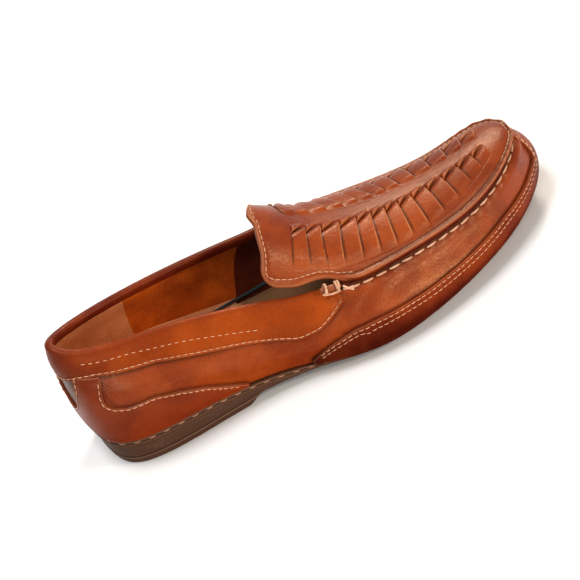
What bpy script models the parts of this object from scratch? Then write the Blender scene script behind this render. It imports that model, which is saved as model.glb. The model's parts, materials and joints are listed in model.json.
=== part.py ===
"""Right-foot driving shoe: a moccasin loafer with a woven apron.

The shoe stands on its sole on z = 0, toe towards +X, inner (medial) side towards +Y.
Tables and lengths are in millimetres; the meshes are in metres.
"""
from collections import namedtuple

import bmesh
import bpy
import numpy as np

MM = 0.001

# Leather and clearances
WALL = 1.8
OVERLAY = 1.1
APRON = 2.0
GAP = 0.35
OVERLAY_GAP = 0.75
FOOT_GAP = 0.5
APRON_GAP = 0.6
MARGIN = 8.0
APRON_LIFT = 0.7
APRON_INSET = 1.5

# Sole
INSOLE = 2.5
LIFT_HEIGHT = 5.0
LIFT_FRONT = 88.0
LIFT_SLOPE = 7.0
LIFT_HOLLOW = 4.0
SOLE_STEP = 0.7
HEEL_TAPER = 1.8
TREAD_TUCK = 4.0

# Woven apron
STRIPS = 13
STRIP_RISE = 1.1
STRIP_BASE = 0.25
SPINE_RISE = 0.55
SLIT = 0.45
BEAD = 1.2
TONGUE_CORNER = 6.0

# Rolled tabs
TAB_RADIUS = 2.3
TAB_ENDS = (0.03, 0.32)
TAB_OUT_INNER = 2.3
TAB_OUT_OUTER = 3.5
TAB_UP = 5.9

RING_STEP = 0.25
STATIONS = 16
TOE = STATIONS // 2
TAB = 4

# A station of the wall: widest point of the wall (x, y, wide), how far in and how high the
# foot of the wall is (foot_in, foot_z), its top edge, and how far the top edge leans in.
Station = namedtuple("Station", "name x y wide foot_in foot_z top_x top_y top_z lean")
WALL_STATIONS = (
    Station("heel back", 0, 0, 45.5, 3, 23, 2, 0, 84, 4),
    Station("heel curve, inner", 5, 23.5, 42.5, 3, 23, 11.5, 12.5, 79.5, 8),
    Station("heel side, inner", 48, 33, 39, 3, 22, 49, 23.5, 72, 12),
    Station("waist, inner", 110, 33, 33, 4, 14, 113, 30.5, 60, 18),
    Station("tab, inner", 165, 41, 26, 5, 6, 156, 35.5, 47.5, 28),
    Station("ball, inner", 216, 47, 19, 6, 5.3, 199, 31.5, 41.2, 28),
    Station("forefoot, inner", 250, 45, 18.5, 6, 7, 243.5, 26.8, 38, 28),
    Station("toe corner, inner", 287, 31, 19.5, 6, 10.3, 279.5, 23.2, 42.6, 42),
    Station("toe tip", 298, 4.5, 23.5, 6, 13.2, 286, 4.2, 44.6, 50),
    Station("toe corner, outer", 276.5, -21, 19.5, 6, 10.5, 270.5, -16.2, 43, 42),
    Station("forefoot, outer", 239.5, -40, 18.5, 6, 8.5, 240, -30.5, 39.2, 28),
    Station("ball, outer", 193, -50.5, 19, 6, 5.2, 196.5, -39, 42, 28),
    Station("tab, outer", 152, -50, 26, 5, 5.2, 152, -39, 46, 28),
    Station("waist, outer", 107.5, -38, 33, 4, 12.5, 112, -30.5, 57.5, 18),
    Station("heel side, outer", 48, -34, 39, 3, 20, 50, -18.5, 72.5, 12),
    Station("heel curve, outer", 8.5, -24, 42.5, 3, 21, 12.5, -10.5, 79.5, 8),
)

# Height of the apron's centre line; share runs from the tabs (0) to the toe seam (1),
# and the tongue behind the tabs has a negative share.
Ridge = namedtuple("Ridge", "share height")
RIDGE = (
    Ridge(-0.30, 88.5), Ridge(-0.15, 79), Ridge(0, 67.5), Ridge(0.25, 53.5),
    Ridge(0.5, 49.5), Ridge(0.75, 48.5), Ridge(0.9, 46.8), Ridge(1, 44.6),
)
TONGUE_SHARE = -0.30
TOE_SHARE = 0.94
TONGUE_INNER = (133, 16, 80.5)
TONGUE_OUTER = (112.5, -28.5, 65.5)
CROWN_POWER = 2.3

# Weave: where the slits between strips meet the spine and the soft ends, and how far out
# the soft ends lie, at four of the slits.
Slit = namedtuple("Slit", "number at_spine at_edge reach")
SLITS = (
    Slit(0, -0.10, -0.165, 0.84), Slit(4, 0.155, 0.098, 0.88),
    Slit(8, 0.34, 0.33, 0.86), Slit(13, 0.68, 0.70, 0.56),
)
SPINE_INNER = -0.13
SPINE_OUTER_BACK = 0.29
SPINE_OUTER_FRONT = 0.14
DIAGONAL = 0.2

# Overlay edges on the wall, by distance from the heel back in stations. Level 0 is the
# foot of the wall, 1 its widest line and 2 its top edge.
Edge = namedtuple("Edge", "along level")
BAND_LOW = (
    Edge(0, 1.38), Edge(0.77, 1.56), Edge(1.16, 1.61), Edge(1.92, 1.55), Edge(2.33, 1.41),
    Edge(2.74, 1.29), Edge(3.24, 1.06), Edge(3.49, 1.16), Edge(3.67, 1.39), Edge(3.81, 1.60),
    Edge(3.90, 1.74),
)
BAND_HIGH = (Edge(0, 1.995), Edge(3.45, 1.995), Edge(3.6, 1.84), Edge(4, 1.84))
COUNTER_TOP = (
    Edge(0, 0.80), Edge(0.25, 0.95), Edge(0.45, 1.20), Edge(0.55, 1.42), Edge(0.62, 1.46),
    Edge(0.95, 1.53), Edge(1.12, 1.22), Edge(1.37, 1.07), Edge(1.91, 1.00), Edge(2.51, 0.45),
    Edge(2.6, 0.32),
)
COUNTER_FOOT = 0.2
WRAP_TOP = (
    Edge(3.28, 0.40), Edge(3.37, 0.61), Edge(3.54, 0.78), Edge(3.82, 0.96), Edge(4.13, 1.08),
    Edge(4.70, 1.19), Edge(5.31, 1.25), Edge(5.95, 1.29), Edge(6.4, 1.33), Edge(7, 1.28),
)
WRAP_TOE = 1.93
WRAP_FOOT = 0.2
WRAP_RISE_OUTER = (7.58, 7.84)
WRAP_RISE_INNER = (6.86, 7.1)

# Sole: how far its edge lies inside the widest line, the midsole's thickness and the
# height of the outsole's underside.
Rim = namedtuple("Rim", "along inset")
SOLE_EDGE = (Rim(0, 0.8), Rim(2, 0.8), Rim(3, 1.5), Rim(3.5, 3.5), Rim(4, 4.6), Rim(8, 5.5))
Layer = namedtuple("Layer", "x thickness")
MIDSOLE = (Layer(0, 4.5), Layer(60, 4.5), Layer(110, 4), Layer(132, 3), Layer(158, 2.2))
Bottom = namedtuple("Bottom", "x height")
OUTSOLE_BOTTOM = (
    Bottom(0, 5.35), Bottom(92, 5.35), Bottom(105, 4.9), Bottom(116, 4.5), Bottom(128, 3),
    Bottom(140, 1.4), Bottom(153, 0.2), Bottom(165, 0), Bottom(232, 0), Bottom(262, 1.8),
    Bottom(285, 4.6), Bottom(300, 7.2),
)

Finish = namedtuple("Finish", "colour roughness")
LEATHER = Finish((0.36, 0.11, 0.035), 0.42)
DARK_LEATHER = Finish((0.27, 0.075, 0.03), 0.45)
RUBBER = Finish((0.09, 0.05, 0.032), 0.6)
FOOTBED = Finish((0.45, 0.27, 0.14), 0.75)


def natural_spline(knots, values):
    """Function of a natural cubic spline through the values at the knots."""
    knots = np.asarray(knots, float)
    values = np.asarray(values, float)
    spans = np.diff(knots)
    matrix = np.eye(len(knots))
    right = np.zeros_like(values)
    for i in range(1, len(knots) - 1):
        matrix[i, i - 1:i + 2] = spans[i - 1], 2 * (spans[i - 1] + spans[i]), spans[i]
        slope_after = (values[i + 1] - values[i]) / spans[i]
        slope_before = (values[i] - values[i - 1]) / spans[i - 1]
        right[i] = 6 * (slope_after - slope_before)
    bend = np.linalg.solve(matrix, right)

    def value(at):
        at = np.clip(np.asarray(at, float), knots[0], knots[-1])
        i = np.clip(np.searchsorted(knots, at, side="right") - 1, 0, len(spans) - 1)
        b = (at - knots[i]) / spans[i]
        a = 1 - b
        cubic = (a ** 3 - a) * bend[i] + (b ** 3 - b) * bend[i + 1]
        return a * values[i] + b * values[i + 1] + cubic * spans[i] ** 2 / 6
    return value


class WallSpline:
    """Closed cubic spline through the wall stations; q counts stations from the heel back."""

    def __init__(self, stations):
        self.rows = np.array([station[1:] for station in stations], float)
        count = len(self.rows)
        steps = np.roll(self.rows[:, :2], -1, axis=0) - self.rows[:, :2]
        self.spans = np.linalg.norm(steps, axis=1) ** 0.75
        matrix = np.zeros((count, count))
        right = np.zeros_like(self.rows)
        for i in range(count):
            before = self.spans[i - 1]
            after = self.spans[i]
            following = (i + 1) % count
            matrix[i, i - 1] += before
            matrix[i, i] += 2 * (before + after)
            matrix[i, following] += after
            rise = (self.rows[following] - self.rows[i]) / after
            right[i] = 6 * (rise - (self.rows[i] - self.rows[i - 1]) / before)
        self.bend = np.linalg.solve(matrix, right)

    def at(self, q):
        q = np.asarray(q, float) % len(self.rows)
        i = np.floor(q).astype(int) % len(self.rows)
        j = (i + 1) % len(self.rows)
        b = (q - np.floor(q))[..., None]
        a = 1 - b
        span = self.spans[i][..., None]
        cubic = (a ** 3 - a) * self.bend[i] + (b ** 3 - b) * self.bend[j]
        return a * self.rows[i] + b * self.rows[j] + cubic * span ** 2 / 6

    def outward(self, q):
        """Level unit vector pointing out of the shoe."""
        near = 0.002
        run = self.at(np.asarray(q) + near)[..., :2] - self.at(np.asarray(q) - near)[..., :2]
        run = run / np.linalg.norm(run, axis=-1, keepdims=True)
        return np.stack([-run[..., 1], run[..., 0], 0 * run[..., 0]], -1)


SPLINE = WallSpline(WALL_STATIONS)
UP = np.array([0.0, 0.0, 1.0])


def foot_line(stations):
    """Points where the wall meets the sole along one side, in order of rising x."""
    row = SPLINE.at(stations)
    line = row[:, :3] - SPLINE.outward(stations) * row[:, 3:4]
    line[:, 2] = row[:, 4]
    line[:, 0] = np.maximum.accumulate(line[:, 0])
    return line.T


FOOT_INNER = foot_line(np.linspace(0, TOE, 161))
FOOT_OUTER = foot_line(np.linspace(STATIONS, TOE, 161))


def foot_height(x, y):
    """Height of the underside of the upper, straight across from side to side."""
    inner_y = np.interp(x, FOOT_INNER[0], FOOT_INNER[1])
    outer_y = np.interp(x, FOOT_OUTER[0], FOOT_OUTER[1])
    inner_z = np.interp(x, FOOT_INNER[0], FOOT_INNER[2])
    outer_z = np.interp(x, FOOT_OUTER[0], FOOT_OUTER[2])
    weight = np.clip((y - outer_y) / np.maximum(inner_y - outer_y, 0.1), 0, 1)
    return outer_z * (1 - weight) + inner_z * weight


ridge_height = natural_spline([r.share for r in RIDGE], [r.height for r in RIDGE])
slit_numbers = [s.number for s in SLITS]
slit_at_spine = natural_spline(slit_numbers, [s.at_spine for s in SLITS])
slit_at_edge = natural_spline(slit_numbers, [s.at_edge for s in SLITS])
slit_reach = natural_spline(slit_numbers, [s.reach for s in SLITS])


def table(rows, column, at):
    """Straight-line reading of one column of a table whose first column is at."""
    return np.interp(at, [row[0] for row in rows], [row[column] for row in rows])


def bezier(a, b, c, d, t):
    t = t[..., None]
    return (1 - t) ** 3 * a + 3 * (1 - t) ** 2 * t * b + 3 * (1 - t) * t ** 2 * c + t ** 3 * d


def wall(q, level):
    """Outer face of the wall: level -1 to 0 lies under the foot, 0 to 1 to 2 goes up it."""
    q, level = np.broadcast_arrays(np.asarray(q, float), np.asarray(level, float))
    row = SPLINE.at(q)
    out = SPLINE.outward(q)
    widest = row[..., :3]
    inset = row[..., 3:4]
    foot = widest - out * inset
    foot = np.concatenate([foot[..., :2], row[..., 4:5]], -1)
    top = row[..., 5:8]
    low_rise = UP * (row[..., 2:3] - row[..., 4:5])
    margin = foot - out * MARGIN
    margin[..., 2] = foot_height(margin[..., 0], margin[..., 1])
    below = foot + (foot - margin) * np.clip(level, -1, 0)[..., None]
    low = bezier(foot, foot + 0.55 * out * inset, widest - 0.55 * low_rise, widest,
                 np.clip(level, 0, 1))
    inward = (top - widest) * (1 - UP)
    reach = np.linalg.norm(inward, axis=-1, keepdims=True)
    inward = inward / np.maximum(reach, 1e-6)
    rise = row[..., 7:8] - row[..., 2:3]
    lean = np.radians(row[..., 8:9])
    handle = 0.35 * np.hypot(rise, reach) * (inward * np.sin(lean) + UP * np.cos(lean))
    high = bezier(widest, widest + 0.4 * rise * UP, top - handle, top, np.clip(level - 1, 0, 1))
    under = (level <= 0)[..., None]
    return np.where(under, below, np.where((level <= 1)[..., None], low, high))


def wall_out(q, level):
    """Unit normal of the wall, pointing out."""
    near = 0.01
    level = np.clip(level, 0.02, 1.98)
    along = wall(q + near, level) - wall(q - near, level)
    up = wall(q, level + near) - wall(q, level - near)
    normal = np.cross(up, along)
    return normal / np.linalg.norm(normal, axis=-1, keepdims=True)


def apron_base(share, across):
    """Top of the forefoot between the seams; across runs from -1 (inner) to 1 (outer)."""
    share, across = np.broadcast_arrays(np.asarray(share, float), np.asarray(across, float))
    on_foot = np.clip(share, 0, 1)
    inner = SPLINE.at(TAB + TAB * on_foot)[..., 5:8]
    outer = SPLINE.at(STATIONS - TAB - TAB * on_foot)[..., 5:8]
    behind = np.clip(share / TONGUE_SHARE, 0, 1)[..., None]
    inner = inner * (1 - behind) + np.array(TONGUE_INNER) * behind
    outer = outer * (1 - behind) + np.array(TONGUE_OUTER) * behind
    weight = ((across + 1) / 2)[..., None]
    point = inner * (1 - weight) + outer * weight
    middle = (inner[..., 2] + outer[..., 2]) / 2
    crown = (ridge_height(share) - middle) * (1 - np.abs(across) ** CROWN_POWER)
    lift = APRON_LIFT * (1 - np.abs(across) ** 10)
    return point + UP * (crown + lift)[..., None]


def apron_up(share, across):
    near = 0.01
    along = apron_base(share + near, across) - apron_base(share - near, across)
    over = apron_base(share, across + near) - apron_base(share, across - near)
    normal = np.cross(over, along)
    normal = normal * np.sign(normal[..., 2:3])
    return normal / np.linalg.norm(normal, axis=-1, keepdims=True)


def half_width(share):
    ends = apron_base(share, np.array([-1.0, 1.0]))
    return np.linalg.norm(ends[1] - ends[0]) / 2


class Body:
    """Points and faces of one piece while it is put together."""

    def __init__(self):
        self.points = []
        self.faces = []

    def add(self, points):
        """Add an array of points and give back their indices in the same layout."""
        points = np.asarray(points, float)
        flat = points.reshape(-1, 3)
        first = len(self.points)
        self.points.extend(flat.tolist())
        return np.arange(first, first + len(flat)).reshape(points.shape[:-1])

    def sheet(self, grid):
        """Quads over a grid of indices; a quad with repeated corners becomes a triangle."""
        for low, high in zip(grid[:-1], grid[1:]):
            for a, b, c, d in zip(low[:-1], low[1:], high[1:], high[:-1]):
                corners = list(dict.fromkeys((int(a), int(b), int(c), int(d))))
                if len(corners) > 2:
                    self.faces.append(corners)

    def bridge(self, loop_a, loop_b):
        """Quads between two closed loops."""
        self.sheet(np.array([list(loop_a) + [loop_a[0]], list(loop_b) + [loop_b[0]]]))


def make_object(name, body, finish, collection):
    mesh = bpy.data.meshes.new(name)
    mesh.from_pydata((np.array(body.points) * MM).tolist(), [], body.faces)
    work = bmesh.new()
    work.from_mesh(mesh)
    bmesh.ops.recalc_face_normals(work, faces=work.faces)
    work.to_mesh(mesh)
    work.free()
    mesh.shade_smooth()
    material = bpy.data.materials.new(name)
    material.use_nodes = True
    shader = material.node_tree.nodes["Principled BSDF"]
    shader.inputs["Base Color"].default_value = (*finish.colour, 1)
    shader.inputs["Roughness"].default_value = finish.roughness
    shader.inputs["Metallic"].default_value = 0
    mesh.materials.append(material)
    piece = bpy.data.objects.new(name, mesh)
    collection.objects.link(piece)
    return piece


def face_out(piece, inside):
    """Turn an open sheet's faces away from a point inside the shoe."""
    mesh = piece.data
    total = 0
    for face in mesh.polygons:
        away = face.center / MM
        away = np.array(away) - np.array(inside)
        total += face.area * float(np.dot(away, np.array(face.normal)))
    if total < 0:
        mesh.flip_normals()


def thicken(piece, thickness, outward):
    shell = piece.modifiers.new("leather", "SOLIDIFY")
    shell.thickness = thickness * MM
    shell.offset = 1 if outward else -1
    shell.use_even_offset = True
    shell.use_quality_normals = True


INSIDE = (150, 0, 35)


def ring_positions():
    return np.arange(0, STATIONS, RING_STEP)


def make_upper(collection):
    """Vamp, quarters and apron lining: one wall, open at the collar and under the foot."""
    levels = np.array([-1, 0, 0.33, 0.67, 1, 1.2, 1.4, 1.6, 1.8, 2])
    positions = ring_positions()
    body = Body()
    ring = body.add(wall(positions[:, None], levels[None]))
    closed = np.concatenate([ring, ring[:1]])
    body.sheet(closed)
    across = np.array([-1, -0.94, -0.85, -0.7, -0.5, -0.3, -0.1, 0.1, 0.3, 0.5, 0.7, 0.85,
                       0.94, 1])
    rows = round(TAB / RING_STEP)
    top = ring[:, -1]
    grid = []
    for step in range(rows):
        inner = top[rows + step]
        outer = top[3 * rows - step]
        middle = body.add(apron_base(step / rows, across[1:-1]))
        grid.append([inner, *middle, outer])
    grid.append([top[2 * rows]] * len(across))
    body.sheet(np.array(grid))
    upper = make_object("upper", body, LEATHER, collection)
    face_out(upper, INSIDE)
    thicken(upper, WALL, outward=False)


def make_overlay(name, positions, low, high, steps, finish, collection):
    """A strip of leather on the wall between two levels, each given at every position."""
    positions = np.asarray(positions, float)
    parts = np.linspace(0, 1, steps + 1)
    levels = low[:, None] * (1 - parts) + high[:, None] * parts
    q = np.broadcast_to(positions[:, None], levels.shape)
    body = Body()
    body.sheet(body.add(wall(q, levels) + OVERLAY_GAP * wall_out(q, levels)))
    overlay = make_object(name, body, finish, collection)
    face_out(overlay, INSIDE)
    thicken(overlay, OVERLAY, outward=True)


def around_heel(reach, extra=()):
    """Positions from one side round the heel back to the other, reach stations each way."""
    one_side = set(np.arange(0, reach, RING_STEP)) | {reach} | set(extra)
    one_side = np.array(sorted(one_side))
    return np.concatenate([-one_side[:0:-1], one_side])


def make_collar_band(collection):
    positions = around_heel(BAND_LOW[-1].along, [edge.along for edge in BAND_LOW[-4:-1]])
    low = table(BAND_LOW, 1, np.abs(positions))
    high = table(BAND_HIGH, 1, np.abs(positions))
    make_overlay("collar_band", positions, low, high, 4, LEATHER, collection)


def make_heel_counter(collection):
    positions = around_heel(COUNTER_TOP[-1].along, [edge.along for edge in COUNTER_TOP])
    low = np.full(len(positions), COUNTER_FOOT)
    high = table(COUNTER_TOP, 1, np.abs(positions)) - 0.02
    make_overlay("heel_counter", positions, low, high, 6, LEATHER, collection)


def wrap_level(along, rise):
    """Upper edge of the wrap; it climbs to the apron seam across the toe."""
    side = table(WRAP_TOP, 1, along)
    start, end = rise
    climb = np.clip((along - start) / (end - start), 0, 1)
    climb = climb * climb * (3 - 2 * climb)
    return side * (1 - climb) + WRAP_TOE * climb


def make_wrap(collection):
    start = WRAP_TOP[0].along
    extra = {start, *WRAP_RISE_OUTER, *WRAP_RISE_INNER}
    inner = sorted(set(np.arange(start + 0.22, TOE, RING_STEP)) | extra)
    outer = sorted(set(np.arange(start + 0.22, TOE + 0.01, RING_STEP)) | extra)
    inner = np.array(inner)
    outer = np.array(outer)
    positions = np.concatenate([inner, STATIONS - outer[::-1]])
    high = np.concatenate([wrap_level(inner, WRAP_RISE_INNER),
                           wrap_level(outer, WRAP_RISE_OUTER)[::-1]])
    low = np.full(len(positions), WRAP_FOOT)
    make_overlay("wrap", positions, low, high, 5, LEATHER, collection)


def strip_relief(part):
    """Height of a strip at a part of its length from heel side (0) to toe side (1)."""
    return STRIP_BASE + STRIP_RISE * part


def weave_row(strip, part):
    """Positions (share, across) and heights of one row of the woven field."""
    slit = strip + part * 0.985
    at_spine = float(slit_at_spine(slit))
    at_edge = float(slit_at_edge(slit))
    reach = float(slit_reach(slit))
    back = SPINE_OUTER_BACK * (1 - part) + SPINE_OUTER_FRONT * part
    tip = reach - DIAGONAL * (1 - part)
    width = half_width(at_spine)
    slit_width = SLIT / width
    edge = 1 - APRON_INSET / width
    rise = strip_relief(part)
    spine = SPINE_RISE
    inner_edge = min(edge - 0.05, max(tip + 0.04, 0.9))
    field = reach - back
    border = max(inner_edge, reach + 0.04)
    across = [-edge, -inner_edge, -(inner_edge + tip) / 2, -tip, -tip + slit_width,
              -0.75 * tip, -0.45 * tip, SPINE_INNER - slit_width, SPINE_INNER,
              (SPINE_INNER + back) / 2, back, back + slit_width, back + 0.4 * field,
              back + 0.72 * field, reach, (reach + border) / 2, border, edge]
    height = [BEAD, 0.1, 0.1, 0.1, rise, rise, rise, rise, spine, spine, spine, rise, rise,
              rise, 0.15, 0.1, 0.1, BEAD]
    across = np.array(across)
    drawn = tuck(at_edge) / width
    across = np.where(across > reach, across - drawn * (across - reach) / (edge - reach), across)
    sideways = np.clip((np.abs(across) - 0.2) / max(reach - 0.2, 0.1), 0, 1)
    share = at_spine + (at_edge - at_spine) * sideways
    return share, across, np.array(height)


def smooth(value, low, high):
    part = np.clip((np.asarray(value, float) - low) / (high - low), 0, 1)
    return part * part * (3 - 2 * part)


def tuck(share):
    """How far the outer edge draws in where the tongue rises from the tab."""
    return 3.6 * smooth(share, -0.22, -0.1) * (1 - smooth(share, -0.095, -0.02))


def plain_row(share):
    """A row of the unwoven tongue or toe, with as many points as a woven row."""
    width = half_width(share)
    corner = TONGUE_CORNER / width
    along = (share - TONGUE_SHARE) / (0 - TONGUE_SHARE) * 32.0 / TONGUE_CORNER
    run = max(0.0, 1 - along)
    round_off = corner * (1 - np.sqrt(max(0.0, 1 - run * run)))
    edge = 1 - APRON_INSET / width - round_off
    spread = np.array([-1, -0.95, -0.87, -0.78, -0.71, -0.55, -0.36, -0.2, -0.12, 0.04, 0.2,
                       0.28, 0.48, 0.66, 0.84, 0.9, 0.95, 1])
    height = np.where(np.abs(spread) > 0.99, BEAD, 0.1)
    across = spread * np.where(spread > 0, edge - tuck(share) / width, edge)
    cut = smooth(across, -0.35, 0.05) * (1 - smooth(across, 0.5, 1.0))
    cut = 0.032 * cut * (1 - smooth(share, TONGUE_SHARE, TONGUE_SHARE + 0.13))
    return share + cut, across, height


def apron_rows():
    rows = []
    first = weave_row(0, 0)[0].min()
    for share in (TONGUE_SHARE, TONGUE_SHARE + 0.006, TONGUE_SHARE + 0.03,
                  TONGUE_SHARE + 0.08, first - 0.012):
        rows.append(plain_row(share))
    for strip in range(STRIPS):
        for part in (0.0, 0.5, 1.0):
            rows.append(weave_row(strip, part))
    last = weave_row(STRIPS - 1, 1.0)[0].max()
    for share in np.linspace(last + 0.02, TOE_SHARE, 4):
        rows.append(plain_row(share))
    return rows


def make_apron(collection):
    """Woven apron and its free tongue: overlapping strips either side of a spine."""
    body = Body()
    tops = []
    bottoms = []
    for share, across, height in apron_rows():
        base = apron_base(share, across)
        up = apron_up(share, across)
        bottoms.append(body.add(base + up * APRON_GAP))
        tops.append(body.add(base + up * (APRON_GAP + APRON + height[:, None])))
    tops = np.array(tops)
    bottoms = np.array(bottoms)
    body.sheet(tops)
    body.sheet(bottoms)
    rim_top = [*tops[0], *tops[1:, -1], *tops[-1, -2::-1], *tops[-2:0:-1, 0]]
    rim_low = [*bottoms[0], *bottoms[1:, -1], *bottoms[-1, -2::-1], *bottoms[-2:0:-1, 0]]
    body.bridge(rim_top, rim_low)
    make_object("apron", body, DARK_LEATHER, collection)


def station_distance(q):
    """Stations from the heel back, the shorter way round."""
    q = np.asarray(q, float) % STATIONS
    return np.minimum(q, STATIONS - q)


def outline(inset, height):
    """Closed line inside the widest line by inset, at the height found at each point."""
    positions = ring_positions()
    row = SPLINE.at(positions)
    line = row[:, :3] - SPLINE.outward(positions) * np.asarray(inset)[..., None]
    line[:, 2] = height(line[:, 0], line[:, 1])
    return line


def cap(body, loop, height):
    """Fill a loop with rows of faces from side to side."""
    count = len(loop)
    parts = np.linspace(0, 1, 5)[1:-1]
    points = np.array(body.points)
    rows = [[loop[0]] * 5]
    for i in range(1, count // 2):
        one = points[loop[i]]
        other = points[loop[count - i]]
        middle = one * (1 - parts[:, None]) + other * parts[:, None]
        middle[:, 2] = height(middle[:, 0], middle[:, 1])
        rows.append([loop[i], *body.add(middle), loop[count - i]])
    rows.append([loop[count // 2]] * 5)
    body.sheet(np.array(rows))


def make_layer(name, insets, heights, finish, collection):
    """A closed layer of the sole; its insets and heights run from the top down."""
    loops = [outline(inset, height) for inset, height in zip(insets, heights)]
    body = Body()
    index = [body.add(loop) for loop in loops]
    for above, below in zip(index[:-1], index[1:]):
        body.bridge(above, below)
    cap(body, index[0], heights[0])
    cap(body, index[-1], heights[-1])
    make_object(name, body, finish, collection)


def midsole_top(x, y):
    return foot_height(x, y) - FOOT_GAP


def midsole_bottom(x, y):
    return midsole_top(x, y) - table(MIDSOLE, 1, x)


def outsole_top(x, y):
    return midsole_bottom(x, y) - GAP


def outsole_bottom(x, y):
    return table(OUTSOLE_BOTTOM, 1, x)


def outsole_shoulder(x, y):
    return 0.4 * outsole_top(x, y) + 0.6 * outsole_bottom(x, y)


def insole_bottom(x, y):
    return foot_height(x, y) + WALL + FOOT_GAP


def insole_top(x, y):
    return insole_bottom(x, y) + INSOLE


def make_sole(collection):
    """Insole, midsole, outsole and the top piece of the heel."""
    positions = ring_positions()
    foot_in = SPLINE.at(positions)[:, 3]
    along = station_distance(positions)
    inset = table(SOLE_EDGE, 1, along)
    make_layer("insole", [foot_in + 1.6, foot_in + 2.8], [insole_top, insole_bottom],
               FOOTBED, collection)
    make_layer("midsole", [inset, inset], [midsole_top, midsole_bottom], RUBBER, collection)
    forefoot = np.clip((along - 3.2) / 0.8, 0, 1)
    tuck = HEEL_TAPER * (1 - forefoot) + TREAD_TUCK * forefoot
    rim = inset + SOLE_STEP
    make_layer("outsole", [rim, rim + tuck * (0.6 - 0.28 * forefoot), rim + tuck],
               [outsole_top, outsole_shoulder, outsole_bottom], RUBBER, collection)
    make_heel_lift(collection, rim + HEEL_TAPER)


def make_heel_lift(collection, inset):
    """Top piece of the heel; its front is hollowed and slopes forward going up."""
    high = outline(inset + 0.1, lambda x, y: LIFT_HEIGHT)
    low = outline(inset + 1.0, lambda x, y: 0)
    count = len(high)
    keep = [i for i in range(count) if high[i, 0] < LIFT_FRONT - 3]
    inner = [i for i in keep if i < count // 2]
    outer = [i for i in keep if i > count // 2]
    order = outer + inner

    def loop(line, front):
        side = line[order]
        start = np.array([front, side[-1, 1], line[0, 2]])
        end = np.array([front, side[0, 1], line[0, 2]])
        parts = np.linspace(0, 1, 7)[:, None]
        edge = start * (1 - parts) + end * parts
        edge[:, 0] -= LIFT_HOLLOW * np.sin(np.pi * parts[:, 0])
        return np.concatenate([side, edge])

    body = Body()
    top = body.add(loop(high, LIFT_FRONT))
    bottom = body.add(loop(low, LIFT_FRONT - LIFT_SLOPE))
    body.bridge(top, bottom)
    body.faces.append([int(i) for i in top])
    body.faces.append([int(i) for i in bottom])
    make_object("heel_lift", body, RUBBER, collection)


def make_tab(name, q, towards_heel, out, collection):
    """Small rolled leather tab where the apron, the collar and the vamp meet."""
    positions = q + towards_heel * np.linspace(*TAB_ENDS, 5)
    row = SPLINE.at(positions)
    centre = row[:, 5:8] + SPLINE.outward(positions) * out + UP * TAB_UP
    curve = bpy.data.curves.new(name, "CURVE")
    curve.dimensions = "3D"
    curve.bevel_depth = TAB_RADIUS * MM
    curve.bevel_resolution = 2
    curve.use_fill_caps = True
    spline = curve.splines.new("POLY")
    spline.points.add(len(centre) - 1)
    for point, place in zip(spline.points, centre):
        point.co = (*(place * MM), 1)
    spline.points[0].radius = 0.75
    spline.points[-1].radius = 0.75
    tab = bpy.data.objects.new(name, curve)
    material = bpy.data.materials.new(name)
    material.use_nodes = True
    shader = material.node_tree.nodes["Principled BSDF"]
    shader.inputs["Base Color"].default_value = (*DARK_LEATHER.colour, 1)
    shader.inputs["Roughness"].default_value = DARK_LEATHER.roughness
    curve.materials.append(material)
    collection.objects.link(tab)


def centre_on_floor(collection):
    """Move everything so that the middle of the footprint is the origin."""
    bpy.context.view_layer.update()
    graph = bpy.context.evaluated_depsgraph_get()
    low = np.full(3, np.inf)
    high = np.full(3, -np.inf)
    for piece in collection.objects:
        corners = np.array([piece.matrix_world @ v.co
                            for v in piece.evaluated_get(graph).to_mesh().vertices])
        low = np.minimum(low, corners.min(axis=0))
        high = np.maximum(high, corners.max(axis=0))
    shift = -(low + high) / 2
    for piece in collection.objects:
        piece.location = (shift[0], shift[1], 0)
    size = (high - low) / MM
    print("size in mm:", np.round(size, 1), "moved by:", np.round(shift / MM, 2))


def main():
    for piece in list(bpy.data.objects):
        bpy.data.objects.remove(piece)
    collection = bpy.data.collections.new("driving_shoe")
    bpy.context.scene.collection.children.link(collection)
    make_upper(collection)
    make_apron(collection)
    make_wrap(collection)
    make_collar_band(collection)
    make_heel_counter(collection)
    make_sole(collection)
    make_tab("tab_inner", TAB, -1, TAB_OUT_INNER, collection)
    make_tab("tab_outer", STATIONS - TAB, 1, TAB_OUT_OUTER, collection)
    centre_on_floor(collection)


if __name__ == "__main__":
    main()
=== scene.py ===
"""Right-foot driving shoe with a woven apron: leathers, stitches, sole, camera and light.

Lengths are in millimetres in the shoe's own frame until a mesh is made: the heel back is at
x = 0, the toe lies towards +X and the inner (medial) side towards +Y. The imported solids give
the place and the size of every piece.
"""
from __future__ import annotations

import json
import logging
from collections.abc import Callable, Sequence
from dataclasses import dataclass, field
from enum import Enum

import bmesh
import bpy
import numpy as np
from mathutils import Matrix, Vector

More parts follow.
